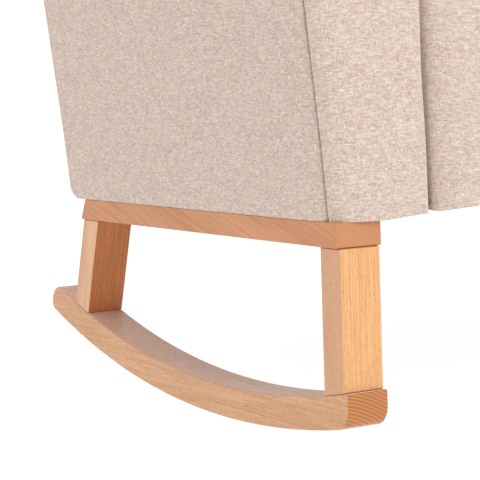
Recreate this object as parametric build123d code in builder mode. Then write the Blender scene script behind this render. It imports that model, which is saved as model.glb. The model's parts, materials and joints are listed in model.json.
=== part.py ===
from build123d import *
from math import asin, degrees, hypot, radians, sqrt, tan
import os

# An upholstered rocking armchair on two beech rocker frames. It faces -Y, in millimetres.
# It is drawn in the chair's own axes: Y runs rearwards from the rail's front end, Z runs up from the
# rail's underside and X = 0 is the middle. The planes below then stand it on the floor, rolled back
# about its rocking axis until its weight is over the point where the runners touch.

# ---- Rocking geometry ----
ROCKER_TOP_RADIUS = 1197.0
ROCKER_DEPTH = 34.0
ROCK_AXIS_Y = 227.0
ROCK_AXIS_Z = 1035.0
ROCKER_RADIUS = ROCKER_TOP_RADIUS + ROCKER_DEPTH
REST_LEAN = 8.84
FLOOR_SHIFT_Y = -204.7

# ---- Rocker frames ----
BASE_HALF_WIDTH = 375.0
RAIL_LENGTH = 560.0
RAIL_WIDTH = 53.0
RAIL_HEIGHT = 25.2
RAIL_END_SLANT = 14.0
LEG_WIDTH = 47.0
LEG_INSET = 2.4
FRONT_LEG_Y = -2.0
FRONT_LEG_DEPTH = 34.0
REAR_LEG_Y = 518.5
REAR_LEG_DEPTH = 38.0
REAR_LEG_SLOPE = 0.327
ROCKER_FRONT_Y = -9.4
ROCKER_REAR_ANGLE = 20.7
ROCKER_NOSE = 22.0
ROCKER_HEEL = 10.0
ROCKER_TIP = 20.0
WOOD_EASING = 1.6

# ---- Fixings ----
DOWEL_RADIUS = 5.0
DOWEL_LENGTH = 44.0
DOWEL_SPREAD = 13.0
DOWEL_IN_RAIL = 18.0
DOWEL_IN_FOOT = 24.0
HOLE_EASE = 0.2
SCREW_RADIUS = 2.5
SCREW_LENGTH = 62.0
SCREW_HEAD_RADIUS = 5.0
SCREW_HEAD_HEIGHT = 4.0
SCREW_SINK = 4.0
BOLT_RADIUS = 4.0
BOLT_LENGTH = 82.0
BOLT_HEAD_RADIUS = 6.5
BOLT_HEAD_HEIGHT = 7.0
BOLT_RECESS = 11.0
BOLT_ROWS = (100.0, 280.0, 460.0)
BOLT_X = BASE_HALF_WIDTH - RAIL_WIDTH / 2
WASHER_RADIUS = 9.0
WASHER_HEIGHT = 1.6
BARREL_RADIUS = 6.0
BARREL_Z = 82.0

# ---- Upholstered body, outer shape ----
BODY_BOTTOM = RAIL_HEIGHT + 0.3
SIDE_FLARE = 0.085
ARM_INNER_X = 264.0
ARM_TOP_Z = 390.0
ARM_FRONT_Y = -6.0
ARM_FRONT_SLOPE = 0.035
ARM_FRONT_ROUND = 34.0
BODY_TOP_Z = 795.0
WING_START_Y = 290.0
WING_EDGE = ((390.0, 460.0), (436.0, 580.0), (474.0, 700.0))
SHOULDER_DEPTH = 96.0
SHOULDER_X = 397.0
WING_INNER_TOP_X = 327.0
REAR_FOOT_Y = 588.0
REAR_SLOPE = 0.07
REAR_CORNER = 14.0
TOP_ROUND = 30.0
SIDE_SKIN = 10.0
BACK_SKIN = 6.0
SOFT_GAP = 0.3

# ---- Seat and back pads ----
SEAT_SETBACK = 14.0
SEAT_HEM_Z = 29.5
SEAT_FRONT_TOP_Z = 272.0
SEAT_REAR_TOP_Z = 254.0
SEAT_PAD_BOTTOM_Z = 120.0
SEAT_NOSE = 34.0
BACK_FACE_Y = 488.0
BACK_FACE_Z = 270.0
BACK_RECLINE = tan(radians(10.0))
BACK_NOSE = 24.0

# ---- Hidden hardwood frame ----
FRAME_BOTTOM = RAIL_HEIGHT + 1.0
FRAME_TOP = FRAME_BOTTOM + 80.0
SIDE_RAIL_INNER_X = 335.0
BOARD = 25.0
SIDE_RAIL_BOARD = 30.0
FRAME_START_Y = 28.0
FRAME_END_Y = 580.0
FRONT_RAIL_Y = 28.0
FRONT_RAIL_BOARD = 44.0
FRONT_RAIL_BOTTOM = 36.0
REAR_RAIL_Y = 552.0
CROSS_RAIL_Y = 345.0
CROSS_RAIL_TOP = 86.0
BLOCK_LEG = 55.0
BLOCK_BOTTOM = 46.0
BLOCK_HEIGHT = 40.0
TOP_RAIL_BOTTOM = 725.0
LUMBAR_RAIL_BOTTOM = 300.0
LUMBAR_RAIL_HEIGHT = 40.0
POST_INNER_X = 307.0
POST_DEPTH = 32.0
POST_TOP_Z = 765.0
ARM_WALL = 45.0
ARM_BOARD = 12.0
ARM_BOARD_END_Y = 470.0
ARM_RAIL_TOP_Z = 352.0
ARM_RAIL_HEIGHT = 22.0
ARM_POST_DEPTH = 60.0
WING_BOARD = 12.0
WING_INSET = 28.0
WING_WINDOW = 34.0
DUST_COVER = 0.8
DUST_COVER_START_Y = 80.0

# ---- Springs and webbing ----
SPRING_COUNT = 5
SPRING_PITCH = 106.0
SPRING_WIRE_RADIUS = 1.9
SPRING_HALF_WIDTH = 22.0
SPRING_BARS = 21
SPRING_BEND = 10.0
SPRING_Z = FRAME_TOP + 2.4
CLIP_LENGTH = 20.0
CLIP_WIDTH = 14.0
CLIP_THICKNESS = 1.5
WEBBING_ROWS = (180.0, 380.0, 470.0, 560.0, 650.0)
WEBBING_WIDTH = 50.0
WEBBING_THICKNESS = 1.5
WEBBING_HALF_LENGTH = 325.0

SIDES = (("right", -1), ("left", 1))

os.makedirs("parts", exist_ok=True)

# The chair's own axes, rolled back on the floor by the resting lean.
CHAIR = Location((0, FLOOR_SHIFT_Y + ROCK_AXIS_Y, ROCKER_RADIUS), (-REST_LEAN, 0, 0)) * Location(
    (0, -ROCK_AXIS_Y, -ROCK_AXIS_Z)
)


def chair_plane(origin, x_dir, z_dir):
    """A plane given in the chair's own axes, moved to where the chair stands."""
    return Plane(CHAIR * Plane(origin, x_dir=x_dir, z_dir=z_dir).location)


def side_plane(x):
    """Plane across the chair at x: its own X runs rearwards and its own Y runs up."""
    return chair_plane((x, 0, 0), (0, 1, 0), (1, 0, 0))


def level_plane(z):
    """Plane level with the rails at height z: its own X and Y are the chair's."""
    return chair_plane((0, 0, z), (1, 0, 0), (0, 0, 1))


def front_plane(y):
    """Upright plane facing forwards at y: its own X is the chair's and its own Y runs up."""
    return chair_plane((0, y, 0), (1, 0, 0), (0, -1, 0))


def leg_plane(y, z, slope, x=0.0):
    """Plane square to a leg at (y, z), its normal running down the leg."""
    return chair_plane((x, y, z), (1, 0, 0), (0, slope, -1))


def prism(plane, outline, depth, mode=Mode.ADD):
    """A straight-sided block: a closed outline drawn on a plane and pushed along its normal."""
    with BuildSketch(plane) as face:
        with BuildLine():
            Polyline(*outline, close=True)
        make_face()
    extrude(face.sketch, amount=depth, mode=mode)


def rod(plane, radius, length, mode=Mode.ADD, at=(0, 0)):
    """A round bar standing on a plane."""
    with BuildSketch(plane) as section:
        with Locations(at):
            Circle(radius)
    extrude(section.sketch, amount=length, mode=mode)


def store(piece, label):
    """Name a finished piece and write it to its own file."""
    piece.label = label
    export_step(piece, f"parts/{label}.step")


def runner_z(y):
    """Height of the runner's upper edge at y."""
    return ROCK_AXIS_Z - sqrt(ROCKER_TOP_RADIUS**2 - (y - ROCK_AXIS_Y) ** 2)


def leg_foot(y_top, slope):
    """Where a line down a leg from the rail's underside meets the runner's upper edge."""
    run = hypot(slope, 1.0)
    along = ((y_top - ROCK_AXIS_Y) * slope + ROCK_AXIS_Z) / run
    start = (y_top - ROCK_AXIS_Y) ** 2 + ROCK_AXIS_Z**2
    drop = sqrt(along**2 - start + ROCKER_TOP_RADIUS**2) - along
    return (y_top + slope * drop / run, -drop / run)


def panel_x(z):
    """Outer face of the side panel: it flares up to the arm and comes in again to the shoulder."""
    if z <= ARM_TOP_Z:
        return BASE_HALF_WIDTH + SIDE_FLARE * (z - RAIL_HEIGHT)
    arm_x = BASE_HALF_WIDTH + SIDE_FLARE * (ARM_TOP_Z - RAIL_HEIGHT)
    return arm_x + (SHOULDER_X - arm_x) * (z - ARM_TOP_Z) / (BODY_TOP_Z - ARM_TOP_Z)


def inner_x(z):
    """Inner face of the arm, which widens above it along the wing."""
    rise = max(0.0, z - ARM_TOP_Z) / (BODY_TOP_Z - ARM_TOP_Z)
    return ARM_INNER_X + (WING_INNER_TOP_X - ARM_INNER_X) * rise


def rear_y(z):
    """Outer face of the back."""
    return REAR_FOOT_Y + REAR_SLOPE * (z - RAIL_HEIGHT)


def back_face_y(z):
    """Face of the back pad that the sitter leans on."""
    return BACK_FACE_Y + BACK_RECLINE * (z - BACK_FACE_Z)


def arm_front_y(z):
    """Front face of the arms."""
    return ARM_FRONT_Y + ARM_FRONT_SLOPE * (z - RAIL_HEIGHT)


def mirrored(points, sign):
    """The same outline on the right or the left half of the chair."""
    return [(sign * x, z) for x, z in points]


def frame_y(z):
    """Front face of the back posts."""
    return rear_y(z) - BACK_SKIN - POST_DEPTH


def body_side(sign, skin=0.0):
    """The body's side view on the arm's inner plane, with its rear edge moved in by skin."""
    arm_end = (WING_START_Y, ARM_TOP_Z)
    shoulder = (rear_y(BODY_TOP_Z) - SHOULDER_DEPTH, BODY_TOP_Z)
    with BuildSketch(side_plane(sign * ARM_INNER_X)) as outline:
        with BuildLine():
            Spline(arm_end, *WING_EDGE, shoulder, tangents=((1, 0.06), (1, 0.2)))
            Polyline(
                shoulder,
                (rear_y(BODY_TOP_Z) - skin, BODY_TOP_Z),
                (rear_y(BODY_BOTTOM) - skin, BODY_BOTTOM),
                (arm_front_y(BODY_BOTTOM), BODY_BOTTOM),
                (arm_front_y(ARM_TOP_Z), ARM_TOP_Z),
                arm_end,
            )
        make_face()
        fillet(vertices().sort_by(Axis.Y)[:2].sort_by(Axis.X)[-1], REAR_CORNER)
        fillet(vertices().sort_by(Axis.X)[1], ARM_FRONT_ROUND)
        fillet(vertices().sort_by(Axis.X)[-1], TOP_ROUND)
    return outline.sketch


# Each leg's middle along the rail's underside, and its slope.
front_middle = FRONT_LEG_Y + FRONT_LEG_DEPTH / 2
rear_middle = REAR_LEG_Y + REAR_LEG_DEPTH / 2
LEG_MIDDLES = ((front_middle, 0.0), (rear_middle, REAR_LEG_SLOPE))
LEG_X = BASE_HALF_WIDTH - LEG_INSET - LEG_WIDTH / 2


def dowels(sign, slack=0.0, mode=Mode.ADD):
    """The dowels of one rocker frame, two across each leg joint, or their holes with slack."""
    for y_top, slope in LEG_MIDDLES:
        foot = leg_foot(y_top, slope)
        for (y, z), above in (((y_top, 0.0), DOWEL_IN_RAIL), (foot, DOWEL_IN_FOOT)):
            for spread in (-DOWEL_SPREAD, DOWEL_SPREAD):
                plane = leg_plane(y, z, slope, sign * LEG_X + spread).offset(-above - slack)
                rod(plane, DOWEL_RADIUS + slack, DOWEL_LENGTH + 2 * slack, mode)


def leg_screws(sign, slack=0.0, mode=Mode.ADD):
    """A screw down each leg from the rail and one up from the runner, or their holes with slack."""
    for y_top, slope in LEG_MIDDLES:
        foot_y, foot_z = leg_foot(y_top, slope)
        from_rail = leg_plane(y_top - slope * RAIL_HEIGHT, RAIL_HEIGHT, slope, sign * LEG_X)
        below = (foot_y + slope * ROCKER_DEPTH, foot_z - ROCKER_DEPTH)
        from_runner = leg_plane(*below, slope, sign * LEG_X)
        for plane, way in ((from_rail, 1), (from_runner, -1)):
            seat = plane.offset(way * SCREW_SINK)
            if slack:
                rod(seat, SCREW_HEAD_RADIUS + slack, -way * 3 * SCREW_SINK, mode)
            rod(seat, SCREW_HEAD_RADIUS + slack, way * (SCREW_HEAD_HEIGHT + slack), mode)
            rod(seat, SCREW_RADIUS + slack, way * (SCREW_LENGTH + slack), mode)


def bolt_holes(sign):
    """Clearance holes for the bolts that hold a rail to the seat frame."""
    for row in BOLT_ROWS:
        rod(level_plane(-1), BOLT_RADIUS + HOLE_EASE, FRAME_TOP, Mode.SUBTRACT, (sign * BOLT_X, row))


# ---- Rocker frames: a rail, two legs and a runner on each side ----
for side, sign in SIDES:
    leg_side = side_plane(sign * (BASE_HALF_WIDTH - LEG_INSET))
    leg_across = -sign * LEG_WIDTH

    with BuildPart() as rail:
        with BuildSketch(side_plane(sign * BASE_HALF_WIDTH)):
            with BuildLine():
                Polyline(
                    (0, 0),
                    (RAIL_LENGTH, 0),
                    (RAIL_LENGTH - RAIL_END_SLANT, RAIL_HEIGHT),
                    (0, RAIL_HEIGHT),
                    close=True,
                )
            make_face()
        extrude(amount=-sign * RAIL_WIDTH)
        fillet(rail.edges(), WOOD_EASING)
        bolt_holes(sign)
        for row in BOLT_ROWS:
            rod(level_plane(-1), WASHER_RADIUS + 1, BOLT_RECESS + 1, Mode.SUBTRACT, (sign * BOLT_X, row))
        dowels(sign, HOLE_EASE, Mode.SUBTRACT)
        leg_screws(sign, HOLE_EASE, Mode.SUBTRACT)
    store(rail.part, f"rail_{side}")

    for name, y_top, depth, slope in (
        ("front_leg", FRONT_LEG_Y, FRONT_LEG_DEPTH, 0.0),
        ("rear_leg", REAR_LEG_Y, REAR_LEG_DEPTH, REAR_LEG_SLOPE),
    ):
        toe = leg_foot(y_top, slope)
        heel = leg_foot(y_top + depth, slope)
        arch_y = (toe[0] + heel[0]) / 2
        with BuildPart() as leg:
            with BuildSketch(leg_side):
                with BuildLine():
                    ThreePointArc(toe, (arch_y, runner_z(arch_y)), heel)
                    Polyline(heel, (y_top + depth, 0), (y_top, 0), toe)
                make_face()
            extrude(amount=leg_across)
            fillet(leg.edges(), WOOD_EASING)
            dowels(sign, HOLE_EASE, Mode.SUBTRACT)
            leg_screws(sign, HOLE_EASE, Mode.SUBTRACT)
        store(leg.part, f"{name}_{side}")

    with BuildPart() as rocker:
        with BuildSketch(leg_side) as runner_side:
            axis = (ROCK_AXIS_Y, ROCK_AXIS_Z)
            reach = ROCK_AXIS_Y - ROCKER_FRONT_Y
            with BuildLine():
                upper_start = degrees(asin(reach / ROCKER_TOP_RADIUS))
                lower_start = degrees(asin(reach / ROCKER_RADIUS))
                upper = CenterArc(axis, ROCKER_TOP_RADIUS, 270 - upper_start, upper_start + ROCKER_REAR_ANGLE)
                lower = CenterArc(axis, ROCKER_RADIUS, 270 - lower_start, lower_start + ROCKER_REAR_ANGLE)
                Line(upper @ 0, lower @ 0)
                Line(upper @ 1, lower @ 1)
            make_face()
            fillet(vertices().sort_by(Axis.X)[:2].sort_by(Axis.Y)[0], ROCKER_NOSE)
            fillet(vertices().sort_by(Axis.X)[:2].sort_by(Axis.Y)[-1], 2 * WOOD_EASING)
            fillet(vertices().sort_by(Axis.X)[-1], ROCKER_HEEL)
            fillet(vertices().sort_by(Axis.Y)[-1], ROCKER_TIP)
        extrude(amount=leg_across)
        fillet(rocker.edges(), WOOD_EASING)
        dowels(sign, HOLE_EASE, Mode.SUBTRACT)
        leg_screws(sign, HOLE_EASE, Mode.SUBTRACT)
    store(rocker.part, f"rocker_{side}")

with BuildPart() as leg_dowels:
    for side, sign in SIDES:
        dowels(sign)
store(leg_dowels.part, "leg_dowels")

with BuildPart() as screws:
    for side, sign in SIDES:
        leg_screws(sign)
store(screws.part, "leg_screws")

# ---- Bolts, washers and barrel nuts that hold the rails to the seat frame ----
washer_z = BOLT_RECESS - WASHER_HEIGHT
head_z = washer_z - BOLT_HEAD_HEIGHT
BOLT_PLACES = [(sign * BOLT_X, row) for side, sign in SIDES for row in BOLT_ROWS]

with BuildPart() as rail_bolts:
    for place in BOLT_PLACES:
        rod(level_plane(head_z), BOLT_HEAD_RADIUS, BOLT_HEAD_HEIGHT, at=place)
        rod(level_plane(washer_z), BOLT_RADIUS, BOLT_LENGTH, at=place)
        with BuildSketch(level_plane(head_z)):
            with Locations(place):
                RegularPolygon(BOLT_RADIUS, 6)
        extrude(amount=BOLT_HEAD_HEIGHT / 2, mode=Mode.SUBTRACT)
store(rail_bolts.part, "rail_bolts")

with BuildPart() as bolt_washers:
    for place in BOLT_PLACES:
        rod(level_plane(washer_z), WASHER_RADIUS, WASHER_HEIGHT, at=place)
        rod(level_plane(washer_z), BOLT_RADIUS + HOLE_EASE, WASHER_HEIGHT, Mode.SUBTRACT, place)
store(bolt_washers.part, "bolt_washers")

with BuildPart() as barrel_nuts:
    for side, sign in SIDES:
        for row in BOLT_ROWS:
            rod(side_plane(sign * (SIDE_RAIL_INNER_X + 1)), BARREL_RADIUS, sign * BOARD, at=(row, BARREL_Z))
            rod(level_plane(0), BOLT_RADIUS + HOLE_EASE, 2 * FRAME_TOP, Mode.SUBTRACT, (sign * BOLT_X, row))
store(barrel_nuts.part, "barrel_nuts")


# ---- Hidden hardwood frame ----
for side, sign in SIDES:
    with BuildPart() as seat_side_rail:
        board = [(FRAME_START_Y, FRAME_BOTTOM), (FRAME_END_Y, FRAME_BOTTOM), (FRAME_END_Y, FRAME_TOP)]
        board.append((FRAME_START_Y, FRAME_TOP))
        prism(side_plane(sign * SIDE_RAIL_INNER_X), board, sign * SIDE_RAIL_BOARD)
        bolt_holes(sign)
        for row in BOLT_ROWS:
            bore = side_plane(sign * SIDE_RAIL_INNER_X)
            rod(bore, BARREL_RADIUS + HOLE_EASE, sign * (BOARD + 2), Mode.SUBTRACT, (row, BARREL_Z))
    store(seat_side_rail.part, f"seat_side_rail_{side}")

    with BuildPart() as back_post:
        post_side = [
            (frame_y(FRAME_BOTTOM), FRAME_BOTTOM),
            (frame_y(FRAME_BOTTOM) + POST_DEPTH, FRAME_BOTTOM),
            (frame_y(POST_TOP_Z) + POST_DEPTH, POST_TOP_Z),
            (frame_y(POST_TOP_Z), POST_TOP_Z),
        ]
        prism(side_plane(sign * POST_INNER_X), post_side, sign * (SIDE_RAIL_INNER_X - POST_INNER_X))
    store(back_post.part, f"back_post_{side}")

    with BuildPart() as arm_post:
        post_front = [
            (SIDE_RAIL_INNER_X, FRAME_TOP),
            (panel_x(FRAME_TOP) - SIDE_SKIN, FRAME_TOP),
            (panel_x(ARM_RAIL_TOP_Z) - SIDE_SKIN, ARM_RAIL_TOP_Z),
            (SIDE_RAIL_INNER_X + BOARD, ARM_RAIL_TOP_Z),
        ]
        prism(front_plane(FRAME_START_Y), mirrored(post_front, sign), -ARM_POST_DEPTH)
    store(arm_post.part, f"arm_post_{side}")

    with BuildPart() as arm_rail:
        arm_rail_bottom = ARM_RAIL_TOP_Z - ARM_RAIL_HEIGHT
        rail_front = [
            (SIDE_RAIL_INNER_X, arm_rail_bottom),
            (panel_x(arm_rail_bottom) - SIDE_SKIN, arm_rail_bottom),
            (panel_x(ARM_RAIL_TOP_Z) - SIDE_SKIN, ARM_RAIL_TOP_Z),
            (SIDE_RAIL_INNER_X, ARM_RAIL_TOP_Z),
        ]
        rail_start = FRAME_START_Y + ARM_POST_DEPTH
        prism(front_plane(rail_start), mirrored(rail_front, sign), -(FRAME_END_Y - rail_start))
    store(arm_rail.part, f"arm_rail_{side}")

    with BuildPart() as wing_frame:
        wing_side = [
            (WING_START_Y + 2 * WING_INSET, ARM_RAIL_TOP_Z),
            *[(y + WING_INSET, z) for y, z in WING_EDGE],
            (frame_y(POST_TOP_Z) - WING_WINDOW, POST_TOP_Z),
            (rear_y(POST_TOP_Z) - BACK_SKIN - SOFT_GAP, POST_TOP_Z),
            (rear_y(ARM_RAIL_TOP_Z) - BACK_SKIN - SOFT_GAP, ARM_RAIL_TOP_Z),
        ]
        prism(side_plane(sign * SIDE_RAIL_INNER_X), wing_side, sign * WING_BOARD)
        window_bottom = WING_EDGE[0][1]
        window_top = POST_TOP_Z - 2 * WING_WINDOW
        window = [
            (WING_EDGE[1][0] + WING_INSET, window_bottom),
            (WING_EDGE[2][0] + WING_INSET + WING_WINDOW, window_top),
            (frame_y(window_top), window_top),
            (frame_y(window_bottom), window_bottom),
        ]
        prism(side_plane(0), window, sign * BASE_HALF_WIDTH, Mode.SUBTRACT)
    store(wing_frame.part, f"wing_frame_{side}")

    with BuildPart() as arm_board:
        board_front = [
            (panel_x(FRAME_TOP) - SIDE_SKIN - ARM_BOARD, FRAME_TOP),
            (panel_x(FRAME_TOP) - SIDE_SKIN, FRAME_TOP),
            (panel_x(arm_rail_bottom) - SIDE_SKIN, arm_rail_bottom),
            (panel_x(arm_rail_bottom) - SIDE_SKIN - ARM_BOARD, arm_rail_bottom),
        ]
        prism(front_plane(rail_start), mirrored(board_front, sign), -(ARM_BOARD_END_Y - rail_start))
    store(arm_board.part, f"arm_board_{side}")

    # Outer side panel: one face from the arm's front seam to the back, thin over its whole outline.
    with BuildPart() as side_panel:
        extrude(body_side(sign), amount=sign * BASE_HALF_WIDTH)
        skin_front = [
            (panel_x(BODY_BOTTOM) - SIDE_SKIN, BODY_BOTTOM),
            (panel_x(BODY_BOTTOM), BODY_BOTTOM),
            (panel_x(ARM_TOP_Z), ARM_TOP_Z),
            (SHOULDER_X, BODY_TOP_Z),
            (SHOULDER_X - SIDE_SKIN, BODY_TOP_Z),
            (panel_x(ARM_TOP_Z) - SIDE_SKIN, ARM_TOP_Z),
        ]
        prism(front_plane(-SIDE_SKIN), mirrored(skin_front, sign), -BODY_TOP_Z, Mode.INTERSECT)
    store(side_panel.part, f"side_panel_{side}")

    # Arm padding: front, inner side and top, around a hollow that holds the arm's frame.
    with BuildPart() as arm_pad:
        with BuildSketch(side_plane(sign * ARM_INNER_X)):
            with BuildLine():
                Polyline(
                    (arm_front_y(FRAME_BOTTOM), FRAME_BOTTOM),
                    (frame_y(FRAME_BOTTOM) - 2 * SOFT_GAP - WEBBING_THICKNESS, FRAME_BOTTOM),
                    (frame_y(ARM_TOP_Z) - 2 * SOFT_GAP - WEBBING_THICKNESS, ARM_TOP_Z),
                    (arm_front_y(ARM_TOP_Z), ARM_TOP_Z),
                    close=True,
                )
            make_face()
            fillet(vertices().sort_by(Axis.X)[1], ARM_FRONT_ROUND)
        extrude(amount=sign * BASE_HALF_WIDTH)
        arm_front = [
            (ARM_INNER_X, FRAME_BOTTOM),
            (panel_x(FRAME_BOTTOM) - SIDE_SKIN - SOFT_GAP, FRAME_BOTTOM),
            (panel_x(ARM_TOP_Z) - SIDE_SKIN - SOFT_GAP, ARM_TOP_Z),
            (ARM_INNER_X, ARM_TOP_Z),
        ]
        prism(front_plane(-SIDE_SKIN), mirrored(arm_front, sign), -BODY_TOP_Z, Mode.INTERSECT)
        cavity = [(FRAME_START_Y, 0), (BODY_TOP_Z, 0)]
        cavity += [(BODY_TOP_Z, ARM_RAIL_TOP_Z), (FRAME_START_Y, ARM_RAIL_TOP_Z)]
        prism(side_plane(sign * (ARM_INNER_X + ARM_WALL)), cavity, sign * BASE_HALF_WIDTH, Mode.SUBTRACT)
        below_seat = [(y, min(z, SEAT_PAD_BOTTOM_Z)) for y, z in cavity]
        prism(side_plane(0), below_seat, sign * BASE_HALF_WIDTH, Mode.SUBTRACT)
        add(wing_frame.part, mode=Mode.SUBTRACT)
    store(arm_pad.part, f"arm_pad_{side}")

    # Wing padding, from the arm's top to the shoulder, wrapped around the wing's board.
    with BuildPart() as wing_pad:
        extrude(body_side(sign, BACK_SKIN + SOFT_GAP), amount=sign * BASE_HALF_WIDTH)
        wing_bottom = ARM_TOP_Z + SOFT_GAP
        wing_front = [
            (inner_x(wing_bottom), wing_bottom),
            (panel_x(wing_bottom) - SIDE_SKIN - SOFT_GAP, wing_bottom),
            (SHOULDER_X - SIDE_SKIN - SOFT_GAP, BODY_TOP_Z),
            (inner_x(BODY_TOP_Z), BODY_TOP_Z),
        ]
        prism(front_plane(-SIDE_SKIN), mirrored(wing_front, sign), -BODY_TOP_Z, Mode.INTERSECT)
        post_zone = [
            (frame_y(FRAME_BOTTOM) - 2 * SOFT_GAP - WEBBING_THICKNESS, FRAME_BOTTOM),
            (BODY_TOP_Z, FRAME_BOTTOM),
            (BODY_TOP_Z, POST_TOP_Z),
            (frame_y(POST_TOP_Z) - 2 * SOFT_GAP - WEBBING_THICKNESS, POST_TOP_Z),
        ]
        prism(side_plane(0), post_zone, sign * SIDE_RAIL_INNER_X, Mode.SUBTRACT)
        add(wing_frame.part, mode=Mode.SUBTRACT)
        hollow = [(y + WING_INSET, z) for y, z in ((WING_START_Y + WING_INSET, wing_bottom), *WING_EDGE)]
        hollow += [(frame_y(POST_TOP_Z) - WING_WINDOW, POST_TOP_Z), (BODY_TOP_Z, POST_TOP_Z)]
        hollow.append((BODY_TOP_Z, wing_bottom))
        prism(side_plane(sign * SIDE_RAIL_INNER_X), hollow, sign * BASE_HALF_WIDTH, Mode.SUBTRACT)
    store(wing_pad.part, f"wing_pad_{side}")

with BuildPart() as seat_front_rail:
    front_rail_rear = FRONT_RAIL_Y + FRONT_RAIL_BOARD
    board = [(FRONT_RAIL_Y, FRONT_RAIL_BOTTOM), (front_rail_rear, FRONT_RAIL_BOTTOM)]
    board += [(front_rail_rear, FRAME_TOP), (FRONT_RAIL_Y, FRAME_TOP)]
    prism(side_plane(-SIDE_RAIL_INNER_X), board, 2 * SIDE_RAIL_INNER_X)
store(seat_front_rail.part, "seat_front_rail")

with BuildPart() as seat_rear_rail:
    board = [(REAR_RAIL_Y, FRAME_BOTTOM), (REAR_RAIL_Y + BOARD, FRAME_BOTTOM)]
    board += [(REAR_RAIL_Y + BOARD, FRAME_TOP), (REAR_RAIL_Y, FRAME_TOP)]
    prism(side_plane(-POST_INNER_X), board, 2 * POST_INNER_X)
store(seat_rear_rail.part, "seat_rear_rail")

with BuildPart() as seat_cross_rail:
    board = [(CROSS_RAIL_Y, FRAME_BOTTOM), (CROSS_RAIL_Y + BOARD, FRAME_BOTTOM)]
    board += [(CROSS_RAIL_Y + BOARD, CROSS_RAIL_TOP), (CROSS_RAIL_Y, CROSS_RAIL_TOP)]
    prism(side_plane(-SIDE_RAIL_INNER_X), board, 2 * SIDE_RAIL_INNER_X)
store(seat_cross_rail.part, "seat_cross_rail")

with BuildPart() as corner_blocks:
    for corner_y, way in ((front_rail_rear, 1), (frame_y(FRAME_BOTTOM) - SOFT_GAP, -1)):
        for side, sign in SIDES:
            block = [(SIDE_RAIL_INNER_X, corner_y), (SIDE_RAIL_INNER_X, corner_y + way * BLOCK_LEG)]
            block.append((SIDE_RAIL_INNER_X - BLOCK_LEG, corner_y))
            prism(level_plane(BLOCK_BOTTOM), mirrored(block, sign), BLOCK_HEIGHT)
store(corner_blocks.part, "corner_blocks")


def back_board(bottom, height, front, thickness, half_length):
    """A board across the back, its faces parallel to the posts, front measured from their face."""
    board = [
        (frame_y(bottom) + front, bottom),
        (frame_y(bottom) + front + thickness, bottom),
        (frame_y(bottom + height) + front + thickness, bottom + height),
        (frame_y(bottom + height) + front, bottom + height),
    ]
    prism(side_plane(-half_length), board, 2 * half_length)


with BuildPart() as back_top_rail:
    back_board(TOP_RAIL_BOTTOM, POST_TOP_Z - TOP_RAIL_BOTTOM, 0, POST_DEPTH, POST_INNER_X)
store(back_top_rail.part, "back_top_rail")

with BuildPart() as back_lumbar_rail:
    back_board(LUMBAR_RAIL_BOTTOM, LUMBAR_RAIL_HEIGHT, POST_DEPTH - BOARD, BOARD, POST_INNER_X)
store(back_lumbar_rail.part, "back_lumbar_rail")

with BuildPart() as back_webbing:
    for bottom in WEBBING_ROWS:
        back_board(bottom, WEBBING_WIDTH, -WEBBING_THICKNESS, WEBBING_THICKNESS, WEBBING_HALF_LENGTH)
store(back_webbing.part, "back_webbing")

# ---- Seat springs: wavy wires from the front rail to the rear rail, held by clips ----
spring_start = FRONT_RAIL_Y + BOARD / 2
spring_step = (REAR_RAIL_Y + BOARD / 2 - spring_start) / (SPRING_BARS - 1)
spring_columns = [(index - (SPRING_COUNT - 1) / 2) * SPRING_PITCH for index in range(SPRING_COUNT)]

with BuildPart() as seat_springs:
    for middle in spring_columns:
        corners = []
        for bar in range(SPRING_BARS):
            y = spring_start + bar * spring_step
            swing = SPRING_HALF_WIDTH if bar % 2 else -SPRING_HALF_WIDTH
            corners += [(middle + swing, y), (middle - swing, y)]
        with BuildLine(level_plane(SPRING_Z)) as wire:
            FilletPolyline(*corners, radius=SPRING_BEND)
        with BuildSketch(Plane(wire.line @ 0, z_dir=wire.line % 0)):
            Circle(SPRING_WIRE_RADIUS)
        sweep(path=wire.line)
store(seat_springs.part, "seat_springs")

with BuildPart() as spring_clips:
    clip_top = SPRING_Z + SPRING_WIRE_RADIUS + SOFT_GAP
    for middle in spring_columns:
        for clip_y in (spring_start, spring_start + (SPRING_BARS - 1) * spring_step):
            inside = CLIP_WIDTH / 2 - CLIP_THICKNESS
            arch = [(clip_y - CLIP_WIDTH / 2, FRAME_TOP), (clip_y - inside, FRAME_TOP)]
            arch += [(clip_y - inside, clip_top), (clip_y + inside, clip_top), (clip_y + inside, FRAME_TOP)]
            arch.append((clip_y + CLIP_WIDTH / 2, FRAME_TOP))
            arch.append((clip_y + CLIP_WIDTH / 2, clip_top + CLIP_THICKNESS))
            arch.append((clip_y - CLIP_WIDTH / 2, clip_top + CLIP_THICKNESS))
            prism(side_plane(middle - CLIP_LENGTH / 2), arch, CLIP_LENGTH)
store(spring_clips.part, "spring_clips")

# ---- Seat, back and covers between the arms ----
with BuildPart() as seat_pad:
    half_seat = ARM_INNER_X - SOFT_GAP
    with BuildSketch(side_plane(-half_seat)):
        with BuildLine():
            Polyline(
                (arm_front_y(SEAT_HEM_Z) + SEAT_SETBACK, SEAT_HEM_Z),
                (FRONT_RAIL_Y - SOFT_GAP, SEAT_HEM_Z),
                (FRONT_RAIL_Y - SOFT_GAP, SEAT_PAD_BOTTOM_Z),
                (back_face_y(SEAT_PAD_BOTTOM_Z) - SOFT_GAP, SEAT_PAD_BOTTOM_Z),
                (back_face_y(SEAT_REAR_TOP_Z) - SOFT_GAP, SEAT_REAR_TOP_Z),
                (arm_front_y(SEAT_FRONT_TOP_Z) + SEAT_SETBACK, SEAT_FRONT_TOP_Z),
                close=True,
            )
        make_face()
        fillet(vertices().sort_by(Axis.Y)[-1], SEAT_NOSE)
    extrude(amount=2 * half_seat)
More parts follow.
